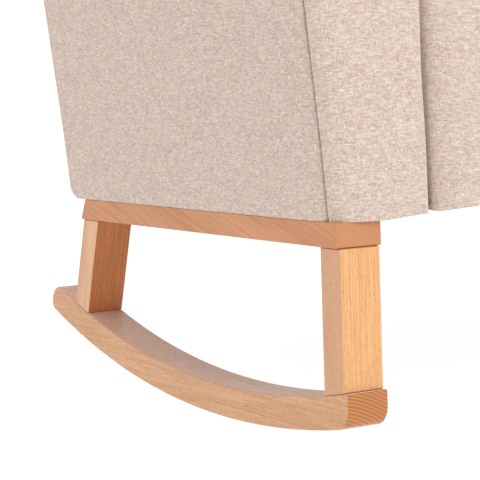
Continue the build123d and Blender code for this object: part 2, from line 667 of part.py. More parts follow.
store(seat_pad.part, "seat_pad")

with BuildPart() as back_pad:
    with BuildSketch(side_plane(-BASE_HALF_WIDTH)):
        pad_rear = -SOFT_GAP - WEBBING_THICKNESS
        pad_shelf = POST_TOP_Z + SOFT_GAP
        with BuildLine():
            Polyline(
                (back_face_y(SEAT_PAD_BOTTOM_Z), SEAT_PAD_BOTTOM_Z),
                (frame_y(SEAT_PAD_BOTTOM_Z) + pad_rear, SEAT_PAD_BOTTOM_Z),
                (frame_y(pad_shelf) + pad_rear, pad_shelf),
                (rear_y(pad_shelf) - BACK_SKIN - SOFT_GAP, pad_shelf),
                (rear_y(BODY_TOP_Z) - BACK_SKIN - SOFT_GAP, BODY_TOP_Z),
                (back_face_y(BODY_TOP_Z), BODY_TOP_Z),
                close=True,
            )
        make_face()
        fillet(vertices().sort_by(Axis.Y)[-2:].sort_by(Axis.X)[0], BACK_NOSE)
    extrude(amount=2 * BASE_HALF_WIDTH)
    pad_front = [
        (ARM_INNER_X - SOFT_GAP, 0),
        (ARM_INNER_X - SOFT_GAP, ARM_TOP_Z),
        (WING_INNER_TOP_X - SOFT_GAP, BODY_TOP_Z),
    ]
    pad_front += [(-x, z) for x, z in reversed(pad_front)]
    prism(front_plane(0), pad_front, -BODY_TOP_Z, Mode.INTERSECT)
store(back_pad.part, "back_pad")

with BuildPart() as outer_back_panel:
    with BuildSketch(side_plane(-BASE_HALF_WIDTH - SIDE_RAIL_INNER_X)):
        with BuildLine():
            Polyline(
                (rear_y(BODY_BOTTOM) - BACK_SKIN, BODY_BOTTOM),
                (rear_y(BODY_BOTTOM), BODY_BOTTOM),
                (rear_y(BODY_TOP_Z), BODY_TOP_Z),
                (rear_y(BODY_TOP_Z) - BACK_SKIN, BODY_TOP_Z),
                close=True,
            )
        make_face()
        fillet(vertices().sort_by(Axis.Y)[:2].sort_by(Axis.X)[-1], BACK_SKIN * 0.8)
        fillet(vertices().sort_by(Axis.Y)[-2:].sort_by(Axis.X)[-1], BACK_SKIN * 0.8)
    extrude(amount=2 * (BASE_HALF_WIDTH + SIDE_RAIL_INNER_X))
    panel_front = [
        (panel_x(z) - SIDE_SKIN - SOFT_GAP, z) for z in (BODY_BOTTOM, ARM_TOP_Z, BODY_TOP_Z)
    ]
    panel_front += [(-x, z) for x, z in reversed(panel_front)]
    prism(front_plane(0), panel_front, -BODY_TOP_Z, Mode.INTERSECT)
store(outer_back_panel.part, "outer_back_panel")

with BuildPart() as dust_cover:
    half_cover = BASE_HALF_WIDTH - SIDE_SKIN - SOFT_GAP
    sheet = [(-half_cover, DUST_COVER_START_Y), (half_cover, DUST_COVER_START_Y)]
    sheet += [(half_cover, FRAME_END_Y), (-half_cover, FRAME_END_Y)]
    prism(level_plane(FRAME_BOTTOM - DUST_COVER), sheet, DUST_COVER)
    for side, sign in SIDES:
        bolt_holes(sign)
store(dust_cover.part, "dust_cover")
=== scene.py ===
import json
import math

import bpy
import numpy as np
from mathutils import Matrix, Vector
from mathutils.geometry import delaunay_2d_cdt
from mathutils.noise import noise as unevenness


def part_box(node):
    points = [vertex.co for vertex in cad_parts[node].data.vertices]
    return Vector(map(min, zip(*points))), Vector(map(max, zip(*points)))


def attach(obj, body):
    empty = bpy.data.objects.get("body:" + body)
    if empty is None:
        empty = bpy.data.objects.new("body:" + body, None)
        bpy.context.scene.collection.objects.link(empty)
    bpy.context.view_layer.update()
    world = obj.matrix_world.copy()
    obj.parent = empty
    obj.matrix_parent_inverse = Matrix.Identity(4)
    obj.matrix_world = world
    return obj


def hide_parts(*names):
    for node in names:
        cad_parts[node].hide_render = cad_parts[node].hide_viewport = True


# An upholstered rocking armchair. Lengths are metres. The covers are drawn in the chair's own axes:
# Y runs rearwards from the rails' front ends, Z runs up from their undersides and X = 0 is the middle.
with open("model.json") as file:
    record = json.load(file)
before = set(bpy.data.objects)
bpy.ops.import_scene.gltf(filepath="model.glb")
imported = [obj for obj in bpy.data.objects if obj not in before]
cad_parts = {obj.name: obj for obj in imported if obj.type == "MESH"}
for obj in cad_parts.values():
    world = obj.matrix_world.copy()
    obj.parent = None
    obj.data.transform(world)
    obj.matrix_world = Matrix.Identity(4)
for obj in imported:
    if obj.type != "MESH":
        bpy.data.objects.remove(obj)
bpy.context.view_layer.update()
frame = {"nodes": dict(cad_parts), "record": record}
nodes = frame["nodes"]

MM = 0.001
SIDES = (("right", -1), ("left", 1))

# ---- How the chair stands: rolled back on its runners about their common axis ----
ROCK_AXIS_Y = 227 * MM
ROCK_AXIS_Z = 1035 * MM
ROCKER_RADIUS = 1231 * MM
REST_LEAN = math.radians(8.84)
CONTACT_Y = next(m for m in frame["record"]["mounts"] if m["name"] == "floor_contact")["pos_m"][1]
CHAIR = (
    Matrix.Translation((0, CONTACT_Y, ROCKER_RADIUS))
    @ Matrix.Rotation(-REST_LEAN, 4, "X")
    @ Matrix.Translation((0, -ROCK_AXIS_Y, -ROCK_AXIS_Z))
)

# ---- Outer shape of the upholstered body ----
RAIL_TOP_Z = 25.2 * MM
BODY_BOTTOM = 25.5 * MM
BODY_TOP = 795 * MM
ARM_TOP = 390 * MM
BASE_HALF_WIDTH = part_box("rail_left")[1].x
SIDE_FLARE = 0.085
SHOULDER_X = BASE_HALF_WIDTH + 22 * MM
ARM_INNER_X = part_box("arm_pad_left")[0].x
WING_INNER_TOP_X = ARM_INNER_X + 63 * MM
ARM_FRONT_Y = -6 * MM
ARM_FRONT_SLOPE = 0.035
ARM_FRONT_ROUND = 34 * MM
WING_START_Y = 290 * MM
WING_EDGE = ((390, 460), (436, 580), (474, 700))
WING_START_SLOPE = (1, 0.06)
WING_END_SLOPE = (1, 0.2)
SHOULDER_DEPTH = 96 * MM
REAR_FOOT_Y = 588 * MM
REAR_SLOPE = 0.07
REAR_CORNER = 14 * MM
TOP_REAR_ROUND = 24 * MM
REAR_SEAM_Z = 766 * MM
BACK_FACE_Y = 488 * MM
BACK_FACE_Z = 270 * MM
BACK_RECLINE = math.tan(math.radians(10))


def panel_x(z):
    """Outer face of the side: it flares up to the arm and comes in again to the shoulder."""
    arm_x = BASE_HALF_WIDTH + SIDE_FLARE * (ARM_TOP - RAIL_TOP_Z)
    lower = BASE_HALF_WIDTH + SIDE_FLARE * (z - RAIL_TOP_Z)
    upper = arm_x + (SHOULDER_X - arm_x) * (z - ARM_TOP) / (BODY_TOP - ARM_TOP)
    return np.where(np.asarray(z) <= ARM_TOP, lower, upper)


def inner_x(z):
    """Inner face of the arm, which widens above it along the wing."""
    rise = np.clip((np.asarray(z) - ARM_TOP) / (BODY_TOP - ARM_TOP), 0, 1)
    return ARM_INNER_X + (WING_INNER_TOP_X - ARM_INNER_X) * rise


def rear_y(z):
    """Outer face of the back."""
    return REAR_FOOT_Y + REAR_SLOPE * (z - RAIL_TOP_Z)


def back_face_y(z):
    """Face of the back that the sitter leans on."""
    return BACK_FACE_Y + BACK_RECLINE * (z - BACK_FACE_Z)


def arm_front_y(z):
    """Front face of the arms."""
    return ARM_FRONT_Y + ARM_FRONT_SLOPE * (z - RAIL_TOP_Z)


# ---- Curves ----
ARC_STEP = 3 * MM
FEWEST_ARC_POINTS = 6
SPLINE_POINTS = 60
EDGE_STEP = 6 * MM
COINCIDENT = 1e-7


def rounded(points, radii, step=ARC_STEP):
    """A polyline through points with an arc of the given radius at each inner corner."""
    made = [np.array(points[0], float)]
    for before, corner, after, radius in zip(points, points[1:], points[2:], radii):
        before, corner, after = (np.array(p, float) for p in (before, corner, after))
        to_start = (before - corner) / np.linalg.norm(before - corner)
        to_end = (after - corner) / np.linalg.norm(after - corner)
        half = math.acos(np.clip(to_start @ to_end, -1, 1)) / 2
        cut = radius / math.tan(half)
        inwards = (to_start + to_end) / np.linalg.norm(to_start + to_end)
        middle = corner + inwards * radius / math.sin(half)
        start = corner + to_start * cut - middle
        end = corner + to_end * cut - middle
        sweep = math.pi - 2 * half
        for share in np.linspace(0, 1, max(FEWEST_ARC_POINTS, int(radius * sweep / step))):
            spoke = start * math.sin((1 - share) * sweep) + end * math.sin(share * sweep)
            made.append(middle + spoke / math.sin(sweep))
    made.append(np.array(points[-1], float))
    return np.array(made)


def spline(points, start_tangent, end_tangent):
    """A smooth cubic curve through points with the given end directions."""
    points = np.array(points, float)
    chords = np.linalg.norm(np.diff(points, axis=0), axis=1)
    knots = np.concatenate(([0], np.cumsum(chords)))
    size = len(points)
    system, right = np.zeros((size, size)), np.zeros((size, 2))
    system[0, 0] = system[-1, -1] = 1
    right[0] = np.array(start_tangent) / np.linalg.norm(start_tangent)
    right[-1] = np.array(end_tangent) / np.linalg.norm(end_tangent)
    for i in range(1, size - 1):
        h0, h1 = chords[i - 1], chords[i]
        system[i, i - 1 : i + 2] = h1, 2 * (h0 + h1), h0
        right[i] = 3 * (h1 * (points[i] - points[i - 1]) / h0 + h0 * (points[i + 1] - points[i]) / h1)
    slopes = np.linalg.solve(system, right)
    made = []
    for at in np.linspace(0, knots[-1], SPLINE_POINTS):
        i = min(np.searchsorted(knots, at, side="right") - 1, size - 2)
        h = chords[i]
        t = (at - knots[i]) / h
        made.append(
            (1 + 2 * t) * (1 - t) ** 2 * points[i]
            + t * (1 - t) ** 2 * h * slopes[i]
            + t**2 * (3 - 2 * t) * points[i + 1]
            - t**2 * (1 - t) * h * slopes[i + 1]
        )
    return np.array(made)


def length_along(points):
    """Distance along a polyline at each of its points."""
    return np.concatenate(([0], np.cumsum(np.linalg.norm(np.diff(points, axis=0), axis=1))))


def resampled(points, step):
    """The polyline again with points about step apart."""
    along = length_along(points)
    keep = np.concatenate(([True], np.diff(along) > COINCIDENT))
    count = max(2, int(round(along[-1] / step)) + 1)
    at = np.linspace(0, along[-1], count)
    across = range(points.shape[1])
    return np.stack([np.interp(at, along[keep], points[keep, k]) for k in across], axis=1)


def outward_normals(path):
    """Unit normals on the left of a (y, z) path that runs up the front and rearwards along the top."""
    tangent = np.gradient(path, axis=0)
    tangent /= np.linalg.norm(tangent, axis=1)[:, None]
    return np.stack([-tangent[:, 1], tangent[:, 0]], axis=1)


def quarter(share):
    """Depth of a quarter-round edge of radius 1, from 1 at its rim to 0 at a distance of 1."""
    share = np.clip(share, 0, 1)
    return 1 - np.sqrt(np.clip(1 - (1 - share) ** 2, 0, 1))


def eased(share):
    """Smooth step from 0 to 1."""
    share = np.clip(share, 0, 1)
    return share * share * (3 - 2 * share)


# ---- Meshes ----
FOAM = 7 * MM
CUSHION_GIVE = 1.4 * MM
CUSHION_WAVES = 11.0
GIVE_REACH = 45 * MM
# The painted shade along a seam: how dark it is at the seam and how far it reaches.
SEAM_SHADE_DARKNESS = 0.45
SEAM_REACH = 1.5 * MM


def painted_seam_shade(rim):
    """How dark the painted shade makes the cloth at a distance from a seam."""
    return SEAM_SHADE_DARKNESS * np.exp(-((np.asarray(rim) / SEAM_REACH) ** 2))


def new_piece(name, points, faces, weave, facing, thickness, rim, shade):
    """A cover from points in the chair's axes, backed by its foam and slightly uneven.

    weave holds the cloth's own coordinates in metres, rim each point's distance from the cover's
    edge, and shade the painted shade that darkens the cloth in its seams and creases. facing is the way
    out.
    """
    points = np.asarray(points, float)
    rim = np.asarray(rim, float)
    mesh = bpy.data.meshes.new(name)
    mesh.from_pydata([CHAIR @ Vector(p) for p in points], [], [list(map(int, f)) for f in faces])
    mesh.update()
    towards = CHAIR.to_3x3() @ Vector(facing)
    if sum(p.area * p.normal.dot(towards) for p in mesh.polygons) < 0:
        mesh.flip_normals()
    give = [CUSHION_GIVE * unevenness(v.co * CUSHION_WAVES) for v in mesh.vertices]
    free = eased(rim / GIVE_REACH)
    moved = [v.co + v.normal * g * f for v, g, f in zip(mesh.vertices, give, free)]
    for vertex, place in zip(mesh.vertices, moved):
        vertex.co = place
    layer = mesh.uv_layers.new(name="weave")
    for loop in mesh.loops:
        layer.data[loop.index].uv = weave[loop.vertex_index]
    edge = mesh.attributes.new("painted_shade", "FLOAT", "POINT")
    edge.data.foreach_set("value", np.asarray(shade, np.float32))
    mesh.polygons.foreach_set("use_smooth", [True] * len(mesh.polygons))
    piece = bpy.data.objects.new(name, mesh)
    bpy.context.scene.collection.objects.link(piece)
    shell = piece.modifiers.new("foam", "SOLIDIFY")
    shell.thickness = thickness
    shell.offset = -1
    shell.use_even_offset = False
    return piece


def grid_faces(rows, columns):
    """Quads of a grid of rows by columns points."""
    return [
        (r * columns + c, r * columns + c + 1, (r + 1) * columns + c + 1, (r + 1) * columns + c)
        for r in range(rows - 1)
        for c in range(columns - 1)
    ]


def distance_to(points, line):
    """Shortest distance from each point to an open polyline."""
    start, run = line[:-1], np.diff(line, axis=0)
    size = np.maximum((run**2).sum(1), COINCIDENT**2)
    best = np.full(len(points), np.inf)
    for a, r, s in zip(start, run, size):
        t = np.clip(((points - a) @ r) / s, 0, 1)
        best = np.minimum(best, np.linalg.norm(points - (a + t[:, None] * r), axis=1))
    return best


def inside(points, loop):
    """Whether each point lies within a closed loop."""
    found = np.zeros(len(points), bool)
    for (ax, ay), (bx, by) in zip(loop, np.roll(loop, -1, axis=0)):
        crosses = (ay > points[:, 1]) != (by > points[:, 1])
        with np.errstate(divide="ignore", invalid="ignore"):
            at = ax + (points[:, 1] - ay) * (bx - ax) / (by - ay)
        found ^= crosses & (points[:, 0] < at)
    return found


# Where a panel has rows of points: across the turned-in edge, and then across the fall behind it.
ROLL_ROWS = tuple(1 - math.cos(math.radians(a)) for a in (15, 30, 45, 60, 75, 90))
FALL_ROWS = (0.12, 0.28, 0.5, 0.75)
ROW_CLEARANCE = 0.96
PANEL_GRID = 16 * MM
MERGE_DISTANCE = 1e-6


def outline_panel(edges, spacing=PANEL_GRID):
    """Triangulates the region inside edges, a loop of (polyline, (roll, fall, reach, seam)).

    roll is the radius by which the cloth turns in at that edge, fall is how much lower the panel lies
    there than in its middle, reach is how far in from the edge that fall goes, and seam is whether
    another cover is sewn on there, with painted shade along it. Returns the 2-D points, the triangles,
    the depth of each point below the panel's full height, its distance from the edge and its painted shade.
    """
    loop = np.concatenate([resampled(line, EDGE_STEP)[:-1] for line, _ in edges])
    closed = np.concatenate([loop, loop[:1]])
    samples = [loop]
    for line, (roll, _, reach, _) in edges:
        line = resampled(line, EDGE_STEP)
        inwards = -outward_normals(line)
        for depth in [roll * share for share in ROLL_ROWS] + [roll + reach * share for share in FALL_ROWS]:
            row = line + inwards * depth
            clear = distance_to(row, closed) > ROW_CLEARANCE * depth
            samples.append(row[clear & inside(row, loop)])
    columns, rows = (np.arange(start, stop, spacing) for start, stop in zip(loop.min(0), loop.max(0)))
    lattice = np.stack(np.meshgrid(columns, rows), axis=-1).reshape(-1, 2)
    band = max(roll + reach * FALL_ROWS[-1] for _, (roll, _, reach, _) in edges) + spacing / 2
    lattice = lattice[inside(lattice, loop)]
    samples.append(lattice[distance_to(lattice, closed) > band])
    flat = np.concatenate(samples)
    border = [(i, (i + 1) % len(loop)) for i in range(len(loop))]
    placed, _, faces, *_ = delaunay_2d_cdt([Vector(p) for p in flat], border, [], 1, MERGE_DISTANCE)
    points = np.array([tuple(p) for p in placed])
    middle = np.array([points[list(t)].mean(0) for t in faces])
    triangles = [t for t, keep in zip(faces, inside(middle, loop)) if keep]
    depth, turned, shade = (np.zeros(len(points)) for _ in range(3))
    for line, (roll, fall, reach, seam) in edges:
        away = distance_to(points, line)
        shade = np.maximum(shade, painted_seam_shade(away) if seam else 0)
        depth = np.maximum(depth, fall * (1 - np.clip(away / reach, 0, 1)) ** 2)
        turned = np.maximum(turned, roll * quarter(away / roll))
    return points, triangles, depth + turned, distance_to(points, closed), shade


# ---- The body's outline seen from the side, as the arm and wing boxing follows it ----
shoulder = (rear_y(BODY_TOP) - SHOULDER_DEPTH, BODY_TOP)
wing_points = [(WING_START_Y, ARM_TOP)] + [(y * MM, z * MM) for y, z in WING_EDGE] + [shoulder]
arm_line = rounded(
    [(arm_front_y(BODY_BOTTOM), BODY_BOTTOM), (arm_front_y(ARM_TOP), ARM_TOP), (WING_START_Y, ARM_TOP)],
    [ARM_FRONT_ROUND],
)
top_line = rounded(
    [shoulder, (rear_y(BODY_TOP), BODY_TOP), (rear_y(REAR_SEAM_Z), REAR_SEAM_Z)], [TOP_REAR_ROUND]
)
wing_line = spline(wing_points, WING_START_SLOPE, WING_END_SLOPE)
outline = resampled(np.concatenate([arm_line[:-1], wing_line[:-1], top_line]), EDGE_STEP)
outline_normal = outward_normals(outline)
outline_along = length_along(outline)

# ---- Covers ----
# Where each cover was cut from the roll of cloth, in metres, so that no two show the same yarns.
WEAVE_START = {"side": 3, "boxing": 5, "lining": 7, "seat": 11, "back": 13, "outer_back": 17}

# The seam between side and boxing lies a little in from the side's face and back from the front's,
# and the corner between them is a soft quarter round. Towards the rear it runs nearer to the top.
SEAM_IN = 4 * MM
SEAM_BACK = 22.6 * MM
REAR_SEAM_BACK = 8 * MM
REAR_EASE_START = 230 * MM
REAR_EASE_LENGTH = 170 * MM
SEAM_ROLL = 2.0 * MM
COVER_BOTTOM = 24.8 * MM
BOTTOM_ROLL = 1.8 * MM
BELLY = 1.5 * MM
BELLY_HEIGHT = 90 * MM
rear_end = eased((outline_along - outline_along[-1] + REAR_EASE_START) / REAR_EASE_LENGTH)
seam_back = SEAM_BACK - (SEAM_BACK - REAR_SEAM_BACK) * rear_end

# Edges of the flat covers, as (roll, fall, reach, seam) for outline_panel.
SIDE_SEAM = (SEAM_ROLL, SEAM_IN, 45 * MM, True)
SHOULDER_SEAM = (SEAM_ROLL, 0.5 * MM, 20 * MM, True)
REAR_TURN = (9 * MM, 1 * MM, 30 * MM, False)
SIDE_HEM = (BOTTOM_ROLL, 0.5 * MM, 30 * MM, False)
LINING_SEAM = (2 * MM, 5 * MM, 50 * MM, True)
LINING_FRONT = (2 * MM, 4 * MM, 40 * MM, True)
LINING_HIDDEN = (2 * MM, 8 * MM, 60 * MM, True)
OUTER_BACK_SEAM = (2.5 * MM, 2 * MM, 60 * MM, True)
OUTER_BACK_HEM = (BOTTOM_ROLL, 2 * MM, 60 * MM, False)


def belly(z):
    """How far the covers stand out past the rails at their lower edge."""
    return BELLY * (1 - eased((np.asarray(z) - COVER_BOTTOM) / BELLY_HEIGHT))


def side_cover(side, sign):
    """The flat outer side, from the front seam to the rear corner."""
    seam = outline - outline_normal * seam_back[:, None]
    front_foot = (seam[0][0], COVER_BOTTOM)
    rear_top = (rear_y(REAR_SEAM_Z), REAR_SEAM_Z)
    seam = np.concatenate([[front_foot], seam[1:]])
    foot = rounded([rear_top, (rear_y(COVER_BOTTOM), COVER_BOTTOM), front_foot], [REAR_CORNER])
    turn = int(np.argmin(np.abs(foot[:, 1] - COVER_BOTTOM)))
    edges = [
        (seam, SIDE_SEAM),
        (np.array([seam[-1], rear_top]), SHOULDER_SEAM),
        (foot[: turn + 1], REAR_TURN),
        (foot[turn:], SIDE_HEM),
    ]
    flat, triangles, depth, rim, shade = outline_panel(edges)
    x = sign * (panel_x(flat[:, 1]) + belly(flat[:, 1]) - depth)
    points = np.stack([x, flat[:, 0], flat[:, 1]], axis=1)
    weave = np.stack([flat[:, 0] + WEAVE_START["side"], flat[:, 1]], axis=1)
    piece = new_piece(f"side_cover_{side}", points, triangles, weave, (sign, 0, 0), FOAM, rim, shade)
    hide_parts(f"side_panel_{side}")
    return piece


# The boxing's cross-section: turned under at the seam, round the corner, across and down inside.
BOXING_GAP = 0.6 * MM
TURNED_UNDER = ((11 * MM, 9 * MM), (6 * MM, 1 * MM))
SEAM_POINT = len(TURNED_UNDER)
SEAM_LIP = 1.6 * MM
LIP_ANGLES = (0, 25, 50, 70, 90)
CORNER_WIDTH = 38 * MM
CORNER_START = 6
CORNER_POINTS = 18
CORNER_SPREAD = 0.85
CORNER_RISE = 1.1
BAND_CROWN = 1.2 * MM
BAND_POINTS = 12
INNER_START = 12
INNER_POINTS = 8
INNER_TUCK = ((0.4 * MM, 6 * MM), (0.8 * MM, 24 * MM))


def boxing_section(width, inner_round, back):
    """Points (in from the outer face, out from the outline) from the outer seam to the inner one."""
    lip = np.radians(np.array(LIP_ANGLES))
    lip_in = SEAM_IN + BOXING_GAP + SEAM_LIP * (1 - np.sin(lip))
    lip_out = -back + SEAM_LIP * (1 - np.cos(lip))
    section = [(SEAM_IN + into, -back - down) for into, down in TURNED_UNDER]
    section += list(zip(lip_in, lip_out))
    rise = back - SEAM_LIP
    for angle in np.radians(np.linspace(CORNER_START, 90, CORNER_POINTS)):
        across = CORNER_WIDTH * (1 - math.cos(angle) ** CORNER_SPREAD)
        section.append((SEAM_IN + BOXING_GAP + across, lip_out[-1] + rise * math.sin(angle) ** CORNER_RISE))
    start, stop = section[-1][0], width - inner_round
    for share in np.linspace(0, 1, BAND_POINTS)[1:]:
        section.append((start + (stop - start) * share, BAND_CROWN * math.sin(math.pi * share)))
    for angle in np.radians(np.linspace(INNER_START, 90, INNER_POINTS)):
        section.append((stop + inner_round * math.sin(angle), -inner_round * (1 - math.cos(angle))))
    section += [(width - into, -inner_round - down) for into, down in INNER_TUCK]
    return np.array(section)


# Along the boxing: a hem that turns under at the arm's foot, and an end tucked in behind the shoulder.
HEM_ANGLES = (0, 20, 40, 60, 80)
HEM_GAP = 3 * MM
HEM_LIFT = 2.4 * MM
HEM_LIFT_START = 42 * MM
HEM_LIFT_HEIGHT = 120 * MM
END_TUCK = np.array([1.5, 4, 9]) * MM
END_TUCK_SLOPE = 0.6
ARM_CREASE = 2.5 * MM
FRONT_INNER_ROUND = 6 * MM
TOP_INNER_ROUND = 20 * MM
ROUND_CHANGE = 80 * MM


def arm_boxing(side, sign):
    """One band of cloth up the arm's front, along its top, up the wing and over the shoulder."""
    hem = np.array([BOTTOM_ROLL * (1 - math.cos(math.radians(a))) for a in HEM_ANGLES])
    lowest = np.stack([arm_front_y(COVER_BOTTOM + hem), COVER_BOTTOM + hem], axis=1)
    last = np.stack([rear_y(REAR_SEAM_Z - END_TUCK), REAR_SEAM_Z - END_TUCK], axis=1)
    keep = outline_along > length_along(lowest)[-1] + HEM_GAP
    path = np.concatenate([lowest, outline[keep], last])
    repeats = np.concatenate([np.full(len(hem), 0), np.flatnonzero(keep), np.full(len(last), -1)])
    normal, backs = outline_normal[repeats], seam_back[repeats]
    inset = np.zeros(len(path))
    inset[: len(hem)] = BOTTOM_ROLL * quarter(hem / BOTTOM_ROLL)
    inset[-len(last) :] = END_TUCK * END_TUCK_SLOPE
    along = length_along(path)
    on_top = eased((along - (ARM_TOP - BODY_BOTTOM) + ROUND_CHANGE / 2) / ROUND_CHANGE)
    inner_rounds = FRONT_INNER_ROUND + (TOP_INNER_ROUND - FRONT_INNER_ROUND) * on_top
    near_hem = 1 - eased(along / HEM_LIFT_HEIGHT)
    points, weave, rims = [], [], []
    for i, ((y, z), (ny, nz)) in enumerate(zip(path, normal)):
        outer = float(panel_x(z) + belly(z))
        width = outer - float(inner_x(z)) - ARM_CREASE
        section = boxing_section(width, inner_rounds[i], backs[i])
        across = length_along(section)
        for (u, w), step in zip(section, across):
            shrunk = np.clip(u, SEAM_IN + inset[i], width - inset[i])
            inwards = float(eased((u - HEM_LIFT_START) / (width - HEM_LIFT_START)))
            lift = HEM_LIFT * near_hem[i] * inwards
            out = w - inset[i]
            points.append((sign * (outer - shrunk), y + ny * out, z + nz * out + lift))
            weave.append((WEAVE_START["boxing"] - sign * step, along[i]))
            rims.append(max(0.0, step - across[SEAM_POINT]))
    faces = grid_faces(len(path), len(section))
    name = f"arm_boxing_{side}"
    piece = new_piece(name, points, faces, weave, (0, -1, 1), FOAM, rims, painted_seam_shade(rims))
    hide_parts(f"arm_pad_{side}")
    return piece


LINING_START_Z = 300 * MM
LINING_TUCK = 30 * MM
LINING_FOOT_Z = 222 * MM
LINING_FRONT_Y = 34 * MM
LINING_CROWN = 6 * MM


def arm_lining(side, sign):
    """The inner side of the arm and wing, running down behind the seat's edge and behind the back's."""
    offset = outline - outline_normal * TOP_INNER_ROUND
    first = int(np.argmax(outline[:, 1] > LINING_START_Z))
    ends = np.where(offset[:, 0] > back_face_y(offset[:, 1]) + LINING_TUCK)[0]
    upper = offset[first : ends[0]]
    rear = np.array([upper[-1], (back_face_y(LINING_FOOT_Z) + LINING_TUCK, LINING_FOOT_Z)])
    foot = np.array([rear[-1], (LINING_FRONT_Y, LINING_FOOT_Z)])
    front = np.array([foot[-1], upper[0]])
    edges = [(upper, LINING_SEAM), (rear, LINING_HIDDEN), (foot, LINING_HIDDEN), (front, LINING_FRONT)]
    flat, triangles, depth, rim, shade = outline_panel(edges)
    x = sign * (inner_x(flat[:, 1]) + depth - LINING_CROWN)
    points = np.stack([x, flat[:, 0], flat[:, 1]], axis=1)
    weave = np.stack([flat[:, 0] + WEAVE_START["lining"], flat[:, 1]], axis=1)
    piece = new_piece(f"arm_lining_{side}", points, triangles, weave, (-sign, 0, 0), FOAM, rim, shade)
    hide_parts(f"wing_pad_{side}")
    return piece


# Cushions: how a side turns in, the painted shade that darkens it beside the arm, and how its hem is tucked
# up there.
SIDE_TURN_STEP = 10
MIDDLE_COLUMNS = 26
CROWN_SHAPE = 0.65
CREASE_WIDTH = 9 * MM
CREASE_DARKNESS = 0.42
CREASE_EDGE = 2.0 * MM
CREASE_SHADE = 0.3
CREASE_FADE = 13 * MM
HEM_TUCK = 0.55
HEM_TUCK_WIDTH = 14 * MM


def edge_columns(roll):
    """Positions from -1 to 1, close together over a distance of roll where the edges turn in."""
    turn = [roll * (1 - math.cos(math.radians(a))) for a in range(0, 91, SIDE_TURN_STEP)]
    left = [-1 + t for t in turn]
    middle = list(np.linspace(-1 + roll, 1 - roll, MIDDLE_COLUMNS + 2)[1:-1])
    return np.array(left + middle + [-x for x in reversed(left)])


def painted_crease_shade(rim, strength):
    """Painted shade on a cushion's side where it goes down beside the arm: dark at first, then fading out.
    """
    past = np.maximum(0, rim - CREASE_WIDTH * strength)
    deep = CREASE_DARKNESS * np.exp(-past / CREASE_EDGE)
    wide = strength * CREASE_SHADE * np.exp(-past / CREASE_FADE)
    return deep + wide


def swept_cushion(name, path, half_width, roll, crown, end_rolls, replaced, weave_start, arch, crease):
    """A cover swept across the chair along a (y, z) path, with its sides and both ends turned in.

    half_width, roll (how wide and how deep the sides turn in), crown, arch (how far a point is
    lifted at the middle) and crease (how deeply painted shade darkens the sides) are given for each
    point of the path. end_rolls are the radii by which its first and last edges turn in.
    """
    normal = outward_normals(path)
    along = length_along(path)
    start_roll, end_roll = end_rolls
    dip = start_roll * quarter(along / start_roll) + end_roll * quarter((along[-1] - along) / end_roll)
    points, weave, rims, shades = [], [], [], []
    for i, ((y, z), (ny, nz)) in enumerate(zip(path, normal)):
        half, (turn, depth) = half_width[i], roll[i]
        shares = edge_columns(turn / half)
        for share in shares:
            x = share * half
            rim = half - abs(x)
            lift = crown[i] * (1 - share**2) ** CROWN_SHAPE - depth * quarter(rim / turn) - dip[i]
            tuck = HEM_TUCK * (1 - float(eased(rim / HEM_TUCK_WIDTH)))
            points.append((x, y + ny * lift, z + nz * lift + arch[i] * (1 - share**2 + tuck)))
            weave.append((x + weave_start, along[i]))
            rims.append(rim)
            shades.append(painted_crease_shade(rim, crease[i]))
    faces = grid_faces(len(path), len(shares))
    piece = new_piece(name, points, faces, weave, (0, -1, 1), FOAM, rims, shades)
    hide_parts(replaced)
    return piece


SEAT_SETBACK = 15 * MM
SEAT_HEM_Z = 25.8 * MM
SEAT_HEM_DEPTH = 16 * MM
SEAT_HEM_ROUND = 3.5 * MM
SEAT_HEM_HEIGHT = 3.4 * MM
SEAT_NOSE_Z = 272 * MM
SEAT_NOSE = 34 * MM
SEAT_REAR_Z = 254 * MM
SEAT_REAR_GAP = 1 * MM
SEAT_SIDE_GAP = 0.5 * MM
SEAT_FRONT_HEIGHT = 200 * MM
SEAT_NOSE_LENGTH = 90 * MM
SEAT_CROWN_HEIGHT = 150 * MM
SEAT_FRONT_CROWN = 3 * MM
SEAT_TOP_CROWN = 9 * MM
SEAT_SIDE_TURN = 26 * MM
SEAT_FRONT_DEPTH = 12 * MM
SEAT_TOP_DEPTH = 4 * MM
SEAT_END_ROLLS = (1 * MM, 16 * MM)
SEAT_TOP_CREASE = 0.7
HEM_ARCH = 7.7 * MM


def seat_cushion():
    """The fixed seat: one cover from under the hem up the front, over the nose and back."""
    hem_y = SEAT_SETBACK + arm_front_y(SEAT_HEM_Z)
    under = (hem_y + SEAT_HEM_DEPTH, SEAT_HEM_Z)
    nose = (SEAT_SETBACK + arm_front_y(SEAT_NOSE_Z), SEAT_NOSE_Z)
    rear = (back_face_y(SEAT_REAR_Z) - SEAT_REAR_GAP, SEAT_REAR_Z)
    path = rounded([under, (hem_y, SEAT_HEM_Z), nose, rear], [SEAT_HEM_ROUND, SEAT_NOSE], 1 * MM)
    first = int(np.argmax(path[:, 1] > SEAT_HEM_Z + SEAT_HEM_HEIGHT)) + 1
    path = np.concatenate([path[:first], resampled(path[first:], EDGE_STEP)])
    along = length_along(path)
    on_top = eased((along - SEAT_FRONT_HEIGHT) / SEAT_NOSE_LENGTH)
    before_end = eased((along[-1] - along) / SEAT_NOSE_LENGTH)
    above_hem = eased(along / SEAT_CROWN_HEIGHT)
    side_turn = np.full(len(path), SEAT_SIDE_TURN)
    return swept_cushion(
        "seat_cushion",
        path,
        np.full(len(path), ARM_INNER_X - SEAT_SIDE_GAP),
        np.stack([side_turn, SEAT_FRONT_DEPTH + SEAT_TOP_DEPTH * on_top], axis=1),
        SEAT_FRONT_CROWN * above_hem + SEAT_TOP_CROWN * on_top * before_end,
        SEAT_END_ROLLS,
        "seat_pad",
        WEAVE_START["seat"],
        HEM_ARCH * (1 - eased(along / SEAT_FRONT_HEIGHT)),
        1 - SEAT_TOP_CREASE * on_top,
    )


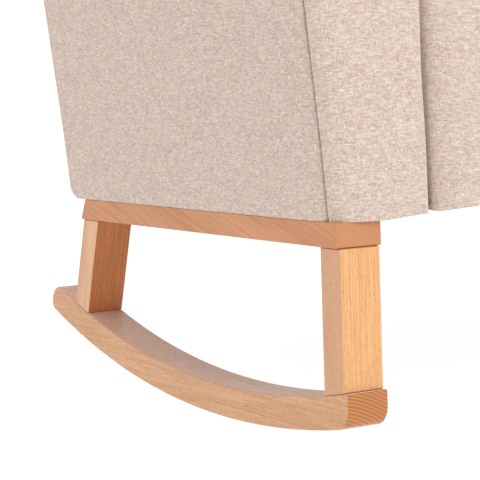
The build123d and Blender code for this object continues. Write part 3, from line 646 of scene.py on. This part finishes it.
BACK_FOOT_Z = 218 * MM
BACK_NOSE = 24 * MM
BACK_TOP_START = 40 * MM
BACK_TOP_LENGTH = 50 * MM
BACK_CROWN_HEIGHT = 120 * MM
BACK_TOP_OVERLAP = 1.8 * MM
BACK_FACE_NARROWER = 2.3 * MM
BACK_TOP_ROLL = (16 * MM, 15 * MM)
BACK_FACE_ROLL = (14 * MM, 3 * MM)
BACK_TOP_CROWN = 2 * MM
BACK_FACE_CROWN = 13 * MM
BACK_END_ROLLS = (4 * MM, SEAM_ROLL)
BACK_CREASE = 0.3


def back_cushion():
    """The inner back: one cover from behind the seat up the back's face and over its top."""
    foot = (back_face_y(BACK_FOOT_Z), BACK_FOOT_Z)
    face_top = (back_face_y(BODY_TOP), BODY_TOP)
    rear_top = (rear_y(BODY_TOP), BODY_TOP)
    rear_seam = (rear_y(REAR_SEAM_Z), REAR_SEAM_Z)
    path = rounded([foot, face_top, rear_top, rear_seam], [BACK_NOSE, TOP_REAR_ROUND])
    path = resampled(path, EDGE_STEP)
    along = length_along(path)
    face = 1 - eased((path[:, 0] - face_top[0] + BACK_TOP_START) / BACK_TOP_LENGTH)
    above_seat = eased(along / BACK_CROWN_HEIGHT)
    roll = [top + more * face for top, more in zip(BACK_TOP_ROLL, BACK_FACE_ROLL)]
    return swept_cushion(
        "back_cushion",
        path,
        inner_x(path[:, 1]) + BACK_TOP_OVERLAP - BACK_FACE_NARROWER * face,
        np.stack(roll, axis=1),
        BACK_TOP_CROWN + BACK_FACE_CROWN * face * above_seat,
        BACK_END_ROLLS,
        "back_pad",
        WEAVE_START["back"],
        np.zeros(len(path)),
        np.full(len(path), BACK_CREASE),
    )


OUTER_BACK_EDGE = 9.5 * MM
OUTER_BACK_ROWS = 40
OUTER_BACK_GAP = 1 * MM
OUTER_BACK_GRID = 18 * MM
OUTER_BACK_STAND = 1.5 * MM


def outer_back_cover():
    """The flat outer back, closed to the sides and the top by a seam just inside its edge."""
    heights = np.linspace(COVER_BOTTOM, REAR_SEAM_Z - OUTER_BACK_GAP, OUTER_BACK_ROWS)
    half = panel_x(heights) - OUTER_BACK_EDGE
    left = np.stack([-half, heights], axis=1)
    right = np.stack([half, heights], axis=1)[::-1]
    top = np.array([left[-1], right[0]])
    foot = np.array([right[-1], left[0]])
    edges = [(line, OUTER_BACK_SEAM) for line in (left, top, right)]
    edges.append((foot, OUTER_BACK_HEM))
    flat, triangles, depth, rim, shade = outline_panel(edges, OUTER_BACK_GRID)
    points = np.stack([flat[:, 0], rear_y(flat[:, 1]) + OUTER_BACK_STAND - depth, flat[:, 1]], axis=1)
    weave = np.stack([WEAVE_START["outer_back"] - flat[:, 0], flat[:, 1]], axis=1)
    piece = new_piece("outer_back_cover", points, triangles, weave, (0, 1, 0), FOAM / 2, rim, shade)
    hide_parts("outer_back_panel")
    return piece


# ---- Materials ----
def new_material(name):
    """A material with only a surface shader, with its node tree and that shader."""
    material = bpy.data.materials.new(name)
    material.use_nodes = True
    tree = material.node_tree
    tree.nodes.clear()
    shader = tree.nodes.new("ShaderNodeBsdfPrincipled")
    output = tree.nodes.new("ShaderNodeOutputMaterial")
    tree.links.new(shader.outputs["BSDF"], output.inputs["Surface"])
    return material, tree, shader


def connect(tree, value, socket):
    """Links an output to a socket, or sets the socket to a plain value."""
    if isinstance(value, bpy.types.NodeSocket):
        tree.links.new(value, socket)
    else:
        socket.default_value = value


def maths(tree, operation, first, second=0.0, clamp=False):
    """A number worked out from one or two others."""
    node = tree.nodes.new("ShaderNodeMath")
    node.operation = operation
    node.use_clamp = clamp
    connect(tree, first, node.inputs[0])
    connect(tree, second, node.inputs[1])
    return node.outputs[0]


def vector_maths(tree, operation, first, second):
    """A vector worked out from two others."""
    node = tree.nodes.new("ShaderNodeVectorMath")
    node.operation = operation
    connect(tree, first, node.inputs[0])
    connect(tree, second, node.inputs[1])
    return node.outputs["Value" if operation == "DOT_PRODUCT" else "Vector"]


def noise(tree, vector, scale, detail=2.0, roughness=0.5):
    """Soft noise from 0 to 1."""
    node = tree.nodes.new("ShaderNodeTexNoise")
    connect(tree, vector, node.inputs["Vector"])
    node.inputs["Scale"].default_value = scale
    node.inputs["Detail"].default_value = detail
    node.inputs["Roughness"].default_value = roughness
    return node.outputs["Fac"]


def remap(tree, value, low, high, to_low=0.0, to_high=1.0):
    """value taken from low..high to to_low..to_high, held at the ends."""
    node = tree.nodes.new("ShaderNodeMapRange")
    connect(tree, value, node.inputs["Value"])
    node.inputs["From Min"].default_value = low
    node.inputs["From Max"].default_value = high
    node.inputs["To Min"].default_value = to_low
    node.inputs["To Max"].default_value = to_high
    return node.outputs["Result"]


def blend(tree, share, first, second):
    """One colour blended into another."""
    node = tree.nodes.new("ShaderNodeMix")
    node.data_type = "RGBA"
    connect(tree, share, node.inputs["Factor"])
    connect(tree, first, node.inputs["A"])
    connect(tree, second, node.inputs["B"])
    return node.outputs["Result"]


def combined(tree, x, y, z=0.0):
    """A vector from three numbers."""
    node = tree.nodes.new("ShaderNodeCombineXYZ")
    for value, socket in zip((x, y, z), node.inputs):
        connect(tree, value, socket)
    return node.outputs["Vector"]


def bumped(tree, height, strength, distance, normal=None):
    """A surface normal disturbed by a height."""
    node = tree.nodes.new("ShaderNodeBump")
    node.inputs["Strength"].default_value = strength
    node.inputs["Distance"].default_value = distance
    connect(tree, height, node.inputs["Height"])
    if normal is not None:
        tree.links.new(normal, node.inputs["Normal"])
    return node.outputs["Normal"]


def colour(red, green, blue):
    """A linear colour from one given in the usual 0..255 display values."""
    share = [c / 255 for c in (red, green, blue)]
    return tuple(c / 12.92 if c <= 0.04045 else ((c + 0.055) / 1.055) ** 2.4 for c in share) + (1.0,)


def separated(tree, vector):
    """The three numbers of a vector."""
    node = tree.nodes.new("ShaderNodeSeparateXYZ")
    connect(tree, vector, node.inputs[0])
    return node.outputs[0], node.outputs[1], node.outputs[2]


# The cloth: the yarns' spacing, how often each varies along its length and how far it differs from
# its neighbour, the size of its worn patches and its tones.
YARN_PITCH = 1.25 * MM
WEFT_CHANGES = 130.0
DASH_CHANGES = 60.0
WARP_CHANGES = 130.0
WEFT_APART = 7.31
DASH_APART = 3.77
WARP_APART = 5.13
CROSSING_CONTRAST = 0.34
FUZZ_SCALE = 900.0
PATCH_SCALE = 60.0
PATCH_TINT = 0.2
SOFT_SCALE = 28.0
CLOTH_BRIGHT = colour(246, 236, 226)
CLOTH_LIGHT = colour(232, 218, 206)
CLOTH_MID = colour(196, 178, 164)
CLOTH_DARK = colour(164, 134, 119)
CLOTH_ROSE = colour(188, 146, 131)
CLOTH_STRAW = colour(206, 194, 164)
CLOTH_GAP = colour(146, 122, 108)
# Painted shade: the dark brown laid into the cloth along seams and creases.
CLOTH_SEAM_SHADE = colour(96, 66, 52)


def cloth_material(name):
    """A heathered beige flat weave: two sets of yarns crossing, each varying in tone along its length."""
    material, tree, shader = new_material(name)
    chart = tree.nodes.new("ShaderNodeUVMap")
    chart.uv_map = "weave"
    place = chart.outputs["UV"]
    u, v, _ = separated(tree, place)
    column = maths(tree, "DIVIDE", u, YARN_PITCH)
    row = maths(tree, "DIVIDE", v, YARN_PITCH)
    which_column = maths(tree, "FLOOR", column)
    which_row = maths(tree, "FLOOR", row)

    def yarn(number, along, changes, offset):
        """Tone along one yarn, different in each."""
        apart = maths(tree, "MULTIPLY", number, offset)
        return noise(tree, combined(tree, maths(tree, "MULTIPLY", along, changes), apart), 1.0, 1.5)

    def hump(position):
        """How high a yarn stands across its width."""
        return maths(tree, "ABSOLUTE", maths(tree, "SINE", maths(tree, "MULTIPLY", position, math.pi)))

    weft = yarn(which_row, u, WEFT_CHANGES, WEFT_APART)
    dash = yarn(which_row, u, DASH_CHANGES, DASH_APART)
    warp = yarn(which_column, v, WARP_CHANGES, WARP_APART)
    weft_tone = blend(tree, remap(tree, weft, 0.34, 0.66), CLOTH_DARK, CLOTH_LIGHT)
    weft_tone = blend(tree, remap(tree, dash, 0.54, 0.68, 0.0, 0.7), weft_tone, CLOTH_ROSE)
    warp_tone = blend(tree, remap(tree, warp, 0.36, 0.64), CLOTH_MID, CLOTH_LIGHT)
    over = maths(tree, "PINGPONG", maths(tree, "ADD", which_column, which_row), 1.0)
    woven = blend(tree, remap(tree, over, 0.0, 1.0, 0.25, 0.85), warp_tone, weft_tone)

    # Each crossing is a little darker or brighter than the next, and dark gaps show between the yarns.
    crossing = tree.nodes.new("ShaderNodeTexWhiteNoise")
    crossing.noise_dimensions = "2D"
    tree.links.new(combined(tree, which_column, which_row), crossing.inputs["Vector"])
    chance = crossing.outputs["Value"]
    woven = blend(tree, remap(tree, chance, 0.5, 1.0, 0.0, CROSSING_CONTRAST), woven, CLOTH_DARK)
    woven = blend(tree, remap(tree, chance, 0.5, 0.0, 0.0, CROSSING_CONTRAST), woven, CLOTH_BRIGHT)
    yarns = maths(tree, "MULTIPLY", hump(column), hump(row))
    woven = blend(tree, remap(tree, yarns, 0.0, 0.45, 0.6, 0.0), woven, CLOTH_GAP)

    # Bright loose fibres, wide patches of a warmer or yellower tone, and the painted shade in the seams and
    # creases.
    fuzz = noise(tree, place, FUZZ_SCALE, 2.0, 0.6)
    woven = blend(tree, remap(tree, fuzz, 0.52, 0.72, 0.0, 0.5), woven, CLOTH_BRIGHT)
    patches = noise(tree, place, PATCH_SCALE, 3.0)
    faded = blend(tree, remap(tree, patches, 0.5, 0.7, 0.0, PATCH_TINT), woven, CLOTH_ROSE)
    faded = blend(tree, remap(tree, patches, 0.5, 0.3, 0.0, PATCH_TINT), faded, CLOTH_STRAW)
    seams = tree.nodes.new("ShaderNodeAttribute")
    seams.attribute_name = "painted_shade"
    connect(tree, blend(tree, seams.outputs["Fac"], faded, CLOTH_SEAM_SHADE), shader.inputs["Base Color"])
    connect(tree, remap(tree, fuzz, 0.2, 0.8, 0.86, 0.97), shader.inputs["Roughness"])
    connect(tree, 0.1, shader.inputs["Specular IOR Level"])
    connect(tree, 0.12, shader.inputs["Sheen Weight"])
    connect(tree, 0.6, shader.inputs["Sheen Roughness"])
    relief = maths(tree, "ADD", maths(tree, "MULTIPLY", yarns, 0.6), maths(tree, "MULTIPLY", weft, 0.9))
    soft = bumped(tree, noise(tree, place, SOFT_SCALE, 2.0), 0.12, 2 * MM)
    connect(tree, bumped(tree, relief, 0.6, 0.45 * MM, soft), shader.inputs["Normal"])
    return material


# The wood: its rings, its fibres, flecks and cloudiness as (changes per metre along the grain, across
# it, detail), the painted shade where two pieces meet and the tones of its end grain.
RING_WIDTH = 3.5 * MM
RING_SWAY = 9 * MM
RING_EDGE = 2.2
RING_APART = 4.7
SWAY_GRAIN = (2.4, 9.0, 2.0)
FIBRE_GRAIN = (15.0, 620.0, 2.0)
FLECK_GRAIN = (160.0, 1100.0, 0.0)
CLOUD_GRAIN = (4.0, 26.0, 2.0)
JOINT_REACH = 3 * MM
JOINT_SHADE = colour(90, 52, 30)
END_GRAIN = colour(190, 123, 68)
END_DEEP = colour(140, 74, 38)
PLAIN_END = (END_GRAIN, 0.55, 0.4)


def wood_material(name, along, pith, tone, boldness=0.3, fleckiness=0.3, face=None, end=PLAIN_END):
    """Solid beech: growth rings round a pith line, fine fibres, and the wood's short dark flecks.

    along is the grain's direction in the chair's axes, and pith is where the rings' centre lies,
    measured across the grain from the chair's origin. tone is (light, dark, deep). face is
    (direction, colour, share, deep colour) for a piece whose faces square to direction are of another
    colour, which on the rear leg's front is painted shade and on the rocker's top and bottom a painted
    sheen, and end is (colour, share, boldness) for its end grain.
    """
    light, dark, deep = tone
    end_tone, end_share, end_bold = end
    material, tree, shader = new_material(name)
    place = tree.nodes.new("ShaderNodeTexCoord").outputs["Object"]
    normal = tree.nodes.new("ShaderNodeNewGeometry").outputs["Normal"]
    grain = (CHAIR.to_3x3() @ Vector(along)).normalized()
    side = (CHAIR.to_3x3() @ Vector((1, 0, 0))).normalized()
    across = grain.cross(side).normalized()
    moved = vector_maths(tree, "SUBTRACT", place, tuple(CHAIR @ Vector((0, 0, 0))))

    def share_of(vector, direction):
        """How much of a vector lies in a direction."""
        return vector_maths(tree, "DOT_PRODUCT", vector, tuple(direction))

    a = share_of(moved, grain)
    b = maths(tree, "SUBTRACT", share_of(moved, side), pith[0])
    c = maths(tree, "SUBTRACT", share_of(moved, across), pith[1])

    def grained(long, wide, detail):
        """Noise stretched along the grain."""
        parts = [maths(tree, "MULTIPLY", p, scale) for p, scale in ((a, long), (b, wide), (c, wide))]
        return noise(tree, combined(tree, *parts), 1.0, detail)

    sway = maths(tree, "SUBTRACT", grained(*SWAY_GRAIN), 0.5)
    sway = maths(tree, "MULTIPLY", sway, RING_SWAY)
    spread = maths(tree, "ADD", maths(tree, "MULTIPLY", b, b), maths(tree, "MULTIPLY", c, c))
    ring = maths(tree, "DIVIDE", maths(tree, "ADD", maths(tree, "SQRT", spread), sway), RING_WIDTH)
    year = maths(tree, "POWER", maths(tree, "FRACT", ring), RING_EDGE)
    which_year = maths(tree, "MULTIPLY", maths(tree, "FLOOR", ring), RING_APART)
    each_year = noise(tree, combined(tree, which_year, 0.3), 1.0, 0.0)
    fibre = grained(*FIBRE_GRAIN)
    fleck = grained(*FLECK_GRAIN)
    cloud = grained(*CLOUD_GRAIN)
    end_on = remap(tree, maths(tree, "ABSOLUTE", share_of(normal, grain)), 0.38, 0.62)

    # The body of the wood, then its rings, fibres and flecks, and then the end grain.
    body = blend(tree, remap(tree, cloud, 0.32, 0.68), light, dark)
    # Faces square to one direction take another colour: painted shade on the rear leg's front, a painted
    # sheen on the rocker's top and bottom, the front leg's own yellower front.
    if face:
        direction, face_tone, face_share, face_deep = face
        square = (CHAIR.to_3x3() @ Vector(direction)).normalized()
        facing = maths(tree, "ABSOLUTE", share_of(normal, square))
        body = blend(tree, remap(tree, facing, 0.7, 0.95, 0.0, face_share), body, face_tone)
        deep = blend(tree, remap(tree, facing, 0.7, 0.95), deep, face_deep)
    bold = maths(tree, "ADD", boldness, maths(tree, "MULTIPLY", end_on, end_bold), True)
    bold = maths(tree, "MULTIPLY", bold, remap(tree, each_year, 0.36, 0.66, 0.15, 1.5))
    body = blend(tree, maths(tree, "MULTIPLY", year, bold, True), body, deep)
    body = blend(tree, remap(tree, fibre, 0.38, 0.68, 0.0, 0.34), body, deep)
    body = blend(tree, remap(tree, fleck, 0.60, 0.68, 0.0, fleckiness), body, deep)
    body = blend(tree, maths(tree, "MULTIPLY", end_on, end_share), body, end_tone)
    end_rings = maths(tree, "MULTIPLY", end_on, maths(tree, "MULTIPLY", year, end_bold))
    body = blend(tree, end_rings, body, END_DEEP)
    # Painted shade: the colour darkens where ambient occlusion finds another piece within a few
    # millimetres.
    joint_occlusion = tree.nodes.new("ShaderNodeAmbientOcclusion")
    joint_occlusion.inputs["Distance"].default_value = JOINT_REACH
    body = blend(tree, remap(tree, joint_occlusion.outputs["AO"], 0.3, 0.65, 0.5, 0.0), body, JOINT_SHADE)
    connect(tree, body, shader.inputs["Base Color"])
    connect(tree, remap(tree, fibre, 0.2, 0.8, 0.36, 0.5), shader.inputs["Roughness"])
    connect(tree, 0.25, shader.inputs["Specular IOR Level"])
    relief = maths(tree, "ADD", fibre, maths(tree, "MULTIPLY", fleck, 0.6))
    connect(tree, bumped(tree, relief, 0.15, 0.15 * MM), shader.inputs["Normal"])
    return material


NONWOVEN_DARK = colour(24, 24, 26)
NONWOVEN_LIGHT = colour(62, 62, 66)


def lining_material(name):
    """Black nonwoven lining: matted fibres without a direction."""
    material, tree, shader = new_material(name)
    place = tree.nodes.new("ShaderNodeTexCoord").outputs["Object"]
    fibres = noise(tree, place, 700.0, 4.0, 0.7)
    tone = blend(tree, remap(tree, fibres, 0.3, 0.7), NONWOVEN_DARK, NONWOVEN_LIGHT)
    connect(tree, tone, shader.inputs["Base Color"])
    connect(tree, remap(tree, fibres, 0.3, 0.7, 0.8, 0.95), shader.inputs["Roughness"])
    connect(tree, bumped(tree, fibres, 0.5, 0.4 * MM), shader.inputs["Normal"])
    return material


STEEL_LINES = (900.0, 120.0, 900.0)
STEEL_DARK = colour(178, 178, 180)
STEEL_LIGHT = colour(205, 206, 208)


def steel_material(name):
    """Zinc-plated steel with fine drawn lines and a slight cloudiness."""
    material, tree, shader = new_material(name)
    place = tree.nodes.new("ShaderNodeTexCoord").outputs["Object"]
    lines = noise(tree, vector_maths(tree, "MULTIPLY", place, STEEL_LINES), 1.0, 2.0)
    cloud = noise(tree, place, 60.0, 2.0)
    tone = blend(tree, remap(tree, cloud, 0.3, 0.7), STEEL_DARK, STEEL_LIGHT)
    connect(tree, tone, shader.inputs["Base Color"])
    connect(tree, 1.0, shader.inputs["Metallic"])
    connect(tree, remap(tree, lines, 0.3, 0.7, 0.24, 0.42), shader.inputs["Roughness"])
    connect(tree, bumped(tree, lines, 0.15, 0.05 * MM), shader.inputs["Normal"])
    return material


# ---- The carried-over frame ----
# Tones of each timber (light, dark, deep), and of the faces that differ from the rest of their piece:
# painted shade on the rear leg's front, a painted sheen on the rocker's top and bottom.
RAIL_TONE = (colour(205, 147, 105), colour(196, 136, 94), colour(152, 92, 56))
FRONT_LEG_TONE = (colour(212, 168, 132), colour(205, 159, 123), colour(172, 113, 70))
REAR_LEG_TONE = (colour(224, 182, 146), colour(216, 170, 134), colour(176, 118, 80))
ROCKER_TONE = (colour(217, 171, 131), colour(206, 157, 117), colour(158, 103, 67))
FRAME_TONE = (colour(206, 182, 146), colour(190, 162, 124), colour(150, 120, 84))
# The rear leg's front face is darker and redder: painted shade.
SHADED_FACE = ((0, 1, 0), colour(192, 116, 60), 0.9, colour(124, 62, 26))
# The rocker's top and bottom faces are paler: a painted sheen.
PAINTED_SHEEN_FACE = ((0, 0, 1), colour(236, 206, 192), 0.6, colour(170, 122, 92))
YELLOW_FACE = ((0, 1, 0), colour(235, 180, 121), 0.7, colour(184, 116, 62))
RAIL_END = (colour(192, 132, 92), 0.6, 0.12)
ROCKER_END = (END_GRAIN, 0.85, 0.8)

# Grain directions, and how far each piece's pith lies (beside the piece's middle, across the grain).
ALONG = (0, 1, 0)
UPRIGHT = (0, 0, 1)
RAIL_GRAIN = (0, 1, 0.3)
REAR_LEG_GRAIN = (0, 0.327, -1)
BOARD_GRAIN = (1, 0, 0.001)
RAIL_PITH = (-0.10, 0.10)
FRONT_LEG_PITH = (0.22, 0.03)
REAR_LEG_PITH = (0.24, -0.49)
ROCKER_PITH = (-0.045, 0.255)
BOARD_PITH = (0.05, 0.3)
TIMBER_MIDDLE = BASE_HALF_WIDTH - 26 * MM

# For each visible piece: grain, pith, tone, boldness of its rings, fleckiness, odd face and end grain.
TIMBERS = {
    "rail": (RAIL_GRAIN, RAIL_PITH, RAIL_TONE, 0.22, 0.08, None, RAIL_END),
    "front_leg": (UPRIGHT, FRONT_LEG_PITH, FRONT_LEG_TONE, 0.22, 0.4, YELLOW_FACE, PLAIN_END),
    "rear_leg": (REAR_LEG_GRAIN, REAR_LEG_PITH, REAR_LEG_TONE, 0.25, 0.3, SHADED_FACE, PLAIN_END),
    "rocker": (ALONG, ROCKER_PITH, ROCKER_TONE, 0.2, 0.3, PAINTED_SHEEN_FACE, ROCKER_END),
}
FRAME_BOARDS = (
    "seat_side_rail",
    "back_post",
    "arm_post",
    "arm_rail",
    "wing_frame",
    "arm_board",
    "seat_front_rail",
    "seat_rear_rail",
    "seat_cross_rail",
    "corner_blocks",
    "back_top_rail",
    "back_lumbar_rail",
)
STEEL_PARTS = ("leg_screws", "rail_bolts", "bolt_washers", "barrel_nuts", "seat_springs", "spring_clips")
LINING_PARTS = ("dust_cover", "back_webbing")


def dressed(name, material):
    """Puts one material on a carried-over piece."""
    piece = nodes[name]
    piece.data.materials.clear()
    piece.data.materials.append(material)


def dress_frame():
    """Gives every carried-over piece of the frame its material."""
    for side, sign in SIDES:
        for part, (grain, (beside, across), *look) in TIMBERS.items():
            pith = (sign * TIMBER_MIDDLE + beside, across)
            material = wood_material(f"beech_{part}_{side}", grain, pith, *look)
            dressed(f"{part}_{side}", material)
    frame_board = wood_material("frame_boards", BOARD_GRAIN, BOARD_PITH, FRAME_TONE)
    steel = steel_material("plated_steel")
    lining = lining_material("black_lining")
    dressed("leg_dowels", frame_board)
    for name in nodes:
        if name.startswith(FRAME_BOARDS):
            dressed(name, frame_board)
    for name in STEEL_PARTS:
        dressed(name, steel)
    for name in LINING_PARTS:
        dressed(name, lining)


# ---- Stage ----
WHITE = (1, 1, 1, 1)
FLOOR_REACH = 40.0
FLOOR_DARK = (0.33, 0.33, 0.33, 1)
FLOOR_LIGHT = (0.37, 0.37, 0.37, 1)
FLOOR_GLOW = 0.86
SKY = 1.0
LIGHTS_AIM = (0, 0, 0.4)
FRONT_LIGHT = ("front_light", (0.5, -3.2, 2.6), 2.2, 43.0)
SIDE_LIGHT = ("side_light", (-3.6, -0.6, 1.5), 2.0, 0.3)


def make_floor():
    """A plain white floor that runs off in every direction."""
    mesh = bpy.data.meshes.new("floor")
    corners = [(x * FLOOR_REACH, y * FLOOR_REACH, 0) for x, y in ((-1, -1), (1, -1), (1, 1), (-1, 1))]
    mesh.from_pydata(corners, [], [(0, 1, 2, 3)])
    floor = bpy.data.objects.new("floor", mesh)
    bpy.context.scene.collection.objects.link(floor)
    material, tree, shader = new_material("floor_white")
    place = tree.nodes.new("ShaderNodeTexCoord").outputs["Object"]
    tone = blend(tree, noise(tree, place, 3.0, 2.0), FLOOR_DARK, FLOOR_LIGHT)
    connect(tree, tone, shader.inputs["Base Color"])
    connect(tree, 0.9, shader.inputs["Roughness"])
    connect(tree, 0.0, shader.inputs["Specular IOR Level"])
    connect(tree, WHITE, shader.inputs["Emission Color"])
    connect(tree, FLOOR_GLOW, shader.inputs["Emission Strength"])
    mesh.materials.append(material)


def soft_light(name, place, size, power):
    """A large square light turned towards the chair."""
    light = bpy.data.lights.new(name, "AREA")
    light.shape = "SQUARE"
    light.size = size
    light.energy = power
    lamp = bpy.data.objects.new(name, light)
    lamp.location = place
    lamp.rotation_euler = (Vector(LIGHTS_AIM) - Vector(place)).to_track_quat("-Z", "Y").to_euler()
    bpy.context.scene.collection.objects.link(lamp)


def make_studio():
    """An even white surround, with a soft light high in front and a faint one at the right side."""
    world = bpy.data.worlds.new("studio")
    world.use_nodes = True
    background = world.node_tree.nodes["Background"]
    background.inputs["Color"].default_value = WHITE
    background.inputs["Strength"].default_value = SKY
    bpy.context.scene.world = world
    soft_light(*FRONT_LIGHT)
    soft_light(*SIDE_LIGHT)
    bpy.context.scene.view_settings.view_transform = "Standard"


CAMERA_BESIDE = 938.9 * MM
CAMERA_AHEAD = 1413.3 * MM
CAMERA_ABOVE = 168.4 * MM
CAMERA_YAW = 0.53267
CAMERA_PITCH = -0.09197
CAMERA_ROLL = -0.03377
CAMERA_LENS = 134.17


def make_camera():
    """The camera, set by its place from the right rail's front end and its turns in the chair's axes."""
    place = Vector((-BASE_HALF_WIDTH - CAMERA_BESIDE, -CAMERA_AHEAD, CAMERA_ABOVE))
    flat = math.cos(CAMERA_PITCH)
    ahead = Vector((math.sin(CAMERA_YAW) * flat, math.cos(CAMERA_YAW) * flat, math.sin(CAMERA_PITCH)))
    level = Vector((math.cos(CAMERA_YAW), -math.sin(CAMERA_YAW), 0))
    upright = level.cross(ahead)
    right = level * math.cos(CAMERA_ROLL) + upright * math.sin(CAMERA_ROLL)
    up = upright * math.cos(CAMERA_ROLL) - level * math.sin(CAMERA_ROLL)
    turn = Matrix((right, up, -ahead)).transposed().to_4x4()
    data = bpy.data.cameras.new("camera")
    data.lens = CAMERA_LENS
    data.sensor_width = 36
    data.clip_start = 0.1
    data.clip_end = 100
    camera = bpy.data.objects.new("camera", data)
    camera.matrix_world = CHAIR @ Matrix.Translation(place) @ turn
    bpy.context.scene.collection.objects.link(camera)
    bpy.context.scene.camera = camera


# ---- The chair ----
cloth = cloth_material("beige_weave")
covers = [seat_cushion(), back_cushion(), outer_back_cover()]
for side, sign in SIDES:
    covers += [side_cover(side, sign), arm_boxing(side, sign), arm_lining(side, sign)]
for cover in covers:
    cover.data.materials.append(cloth)
    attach(cover, "root")
dress_frame()
make_floor()
make_studio()
make_camera()
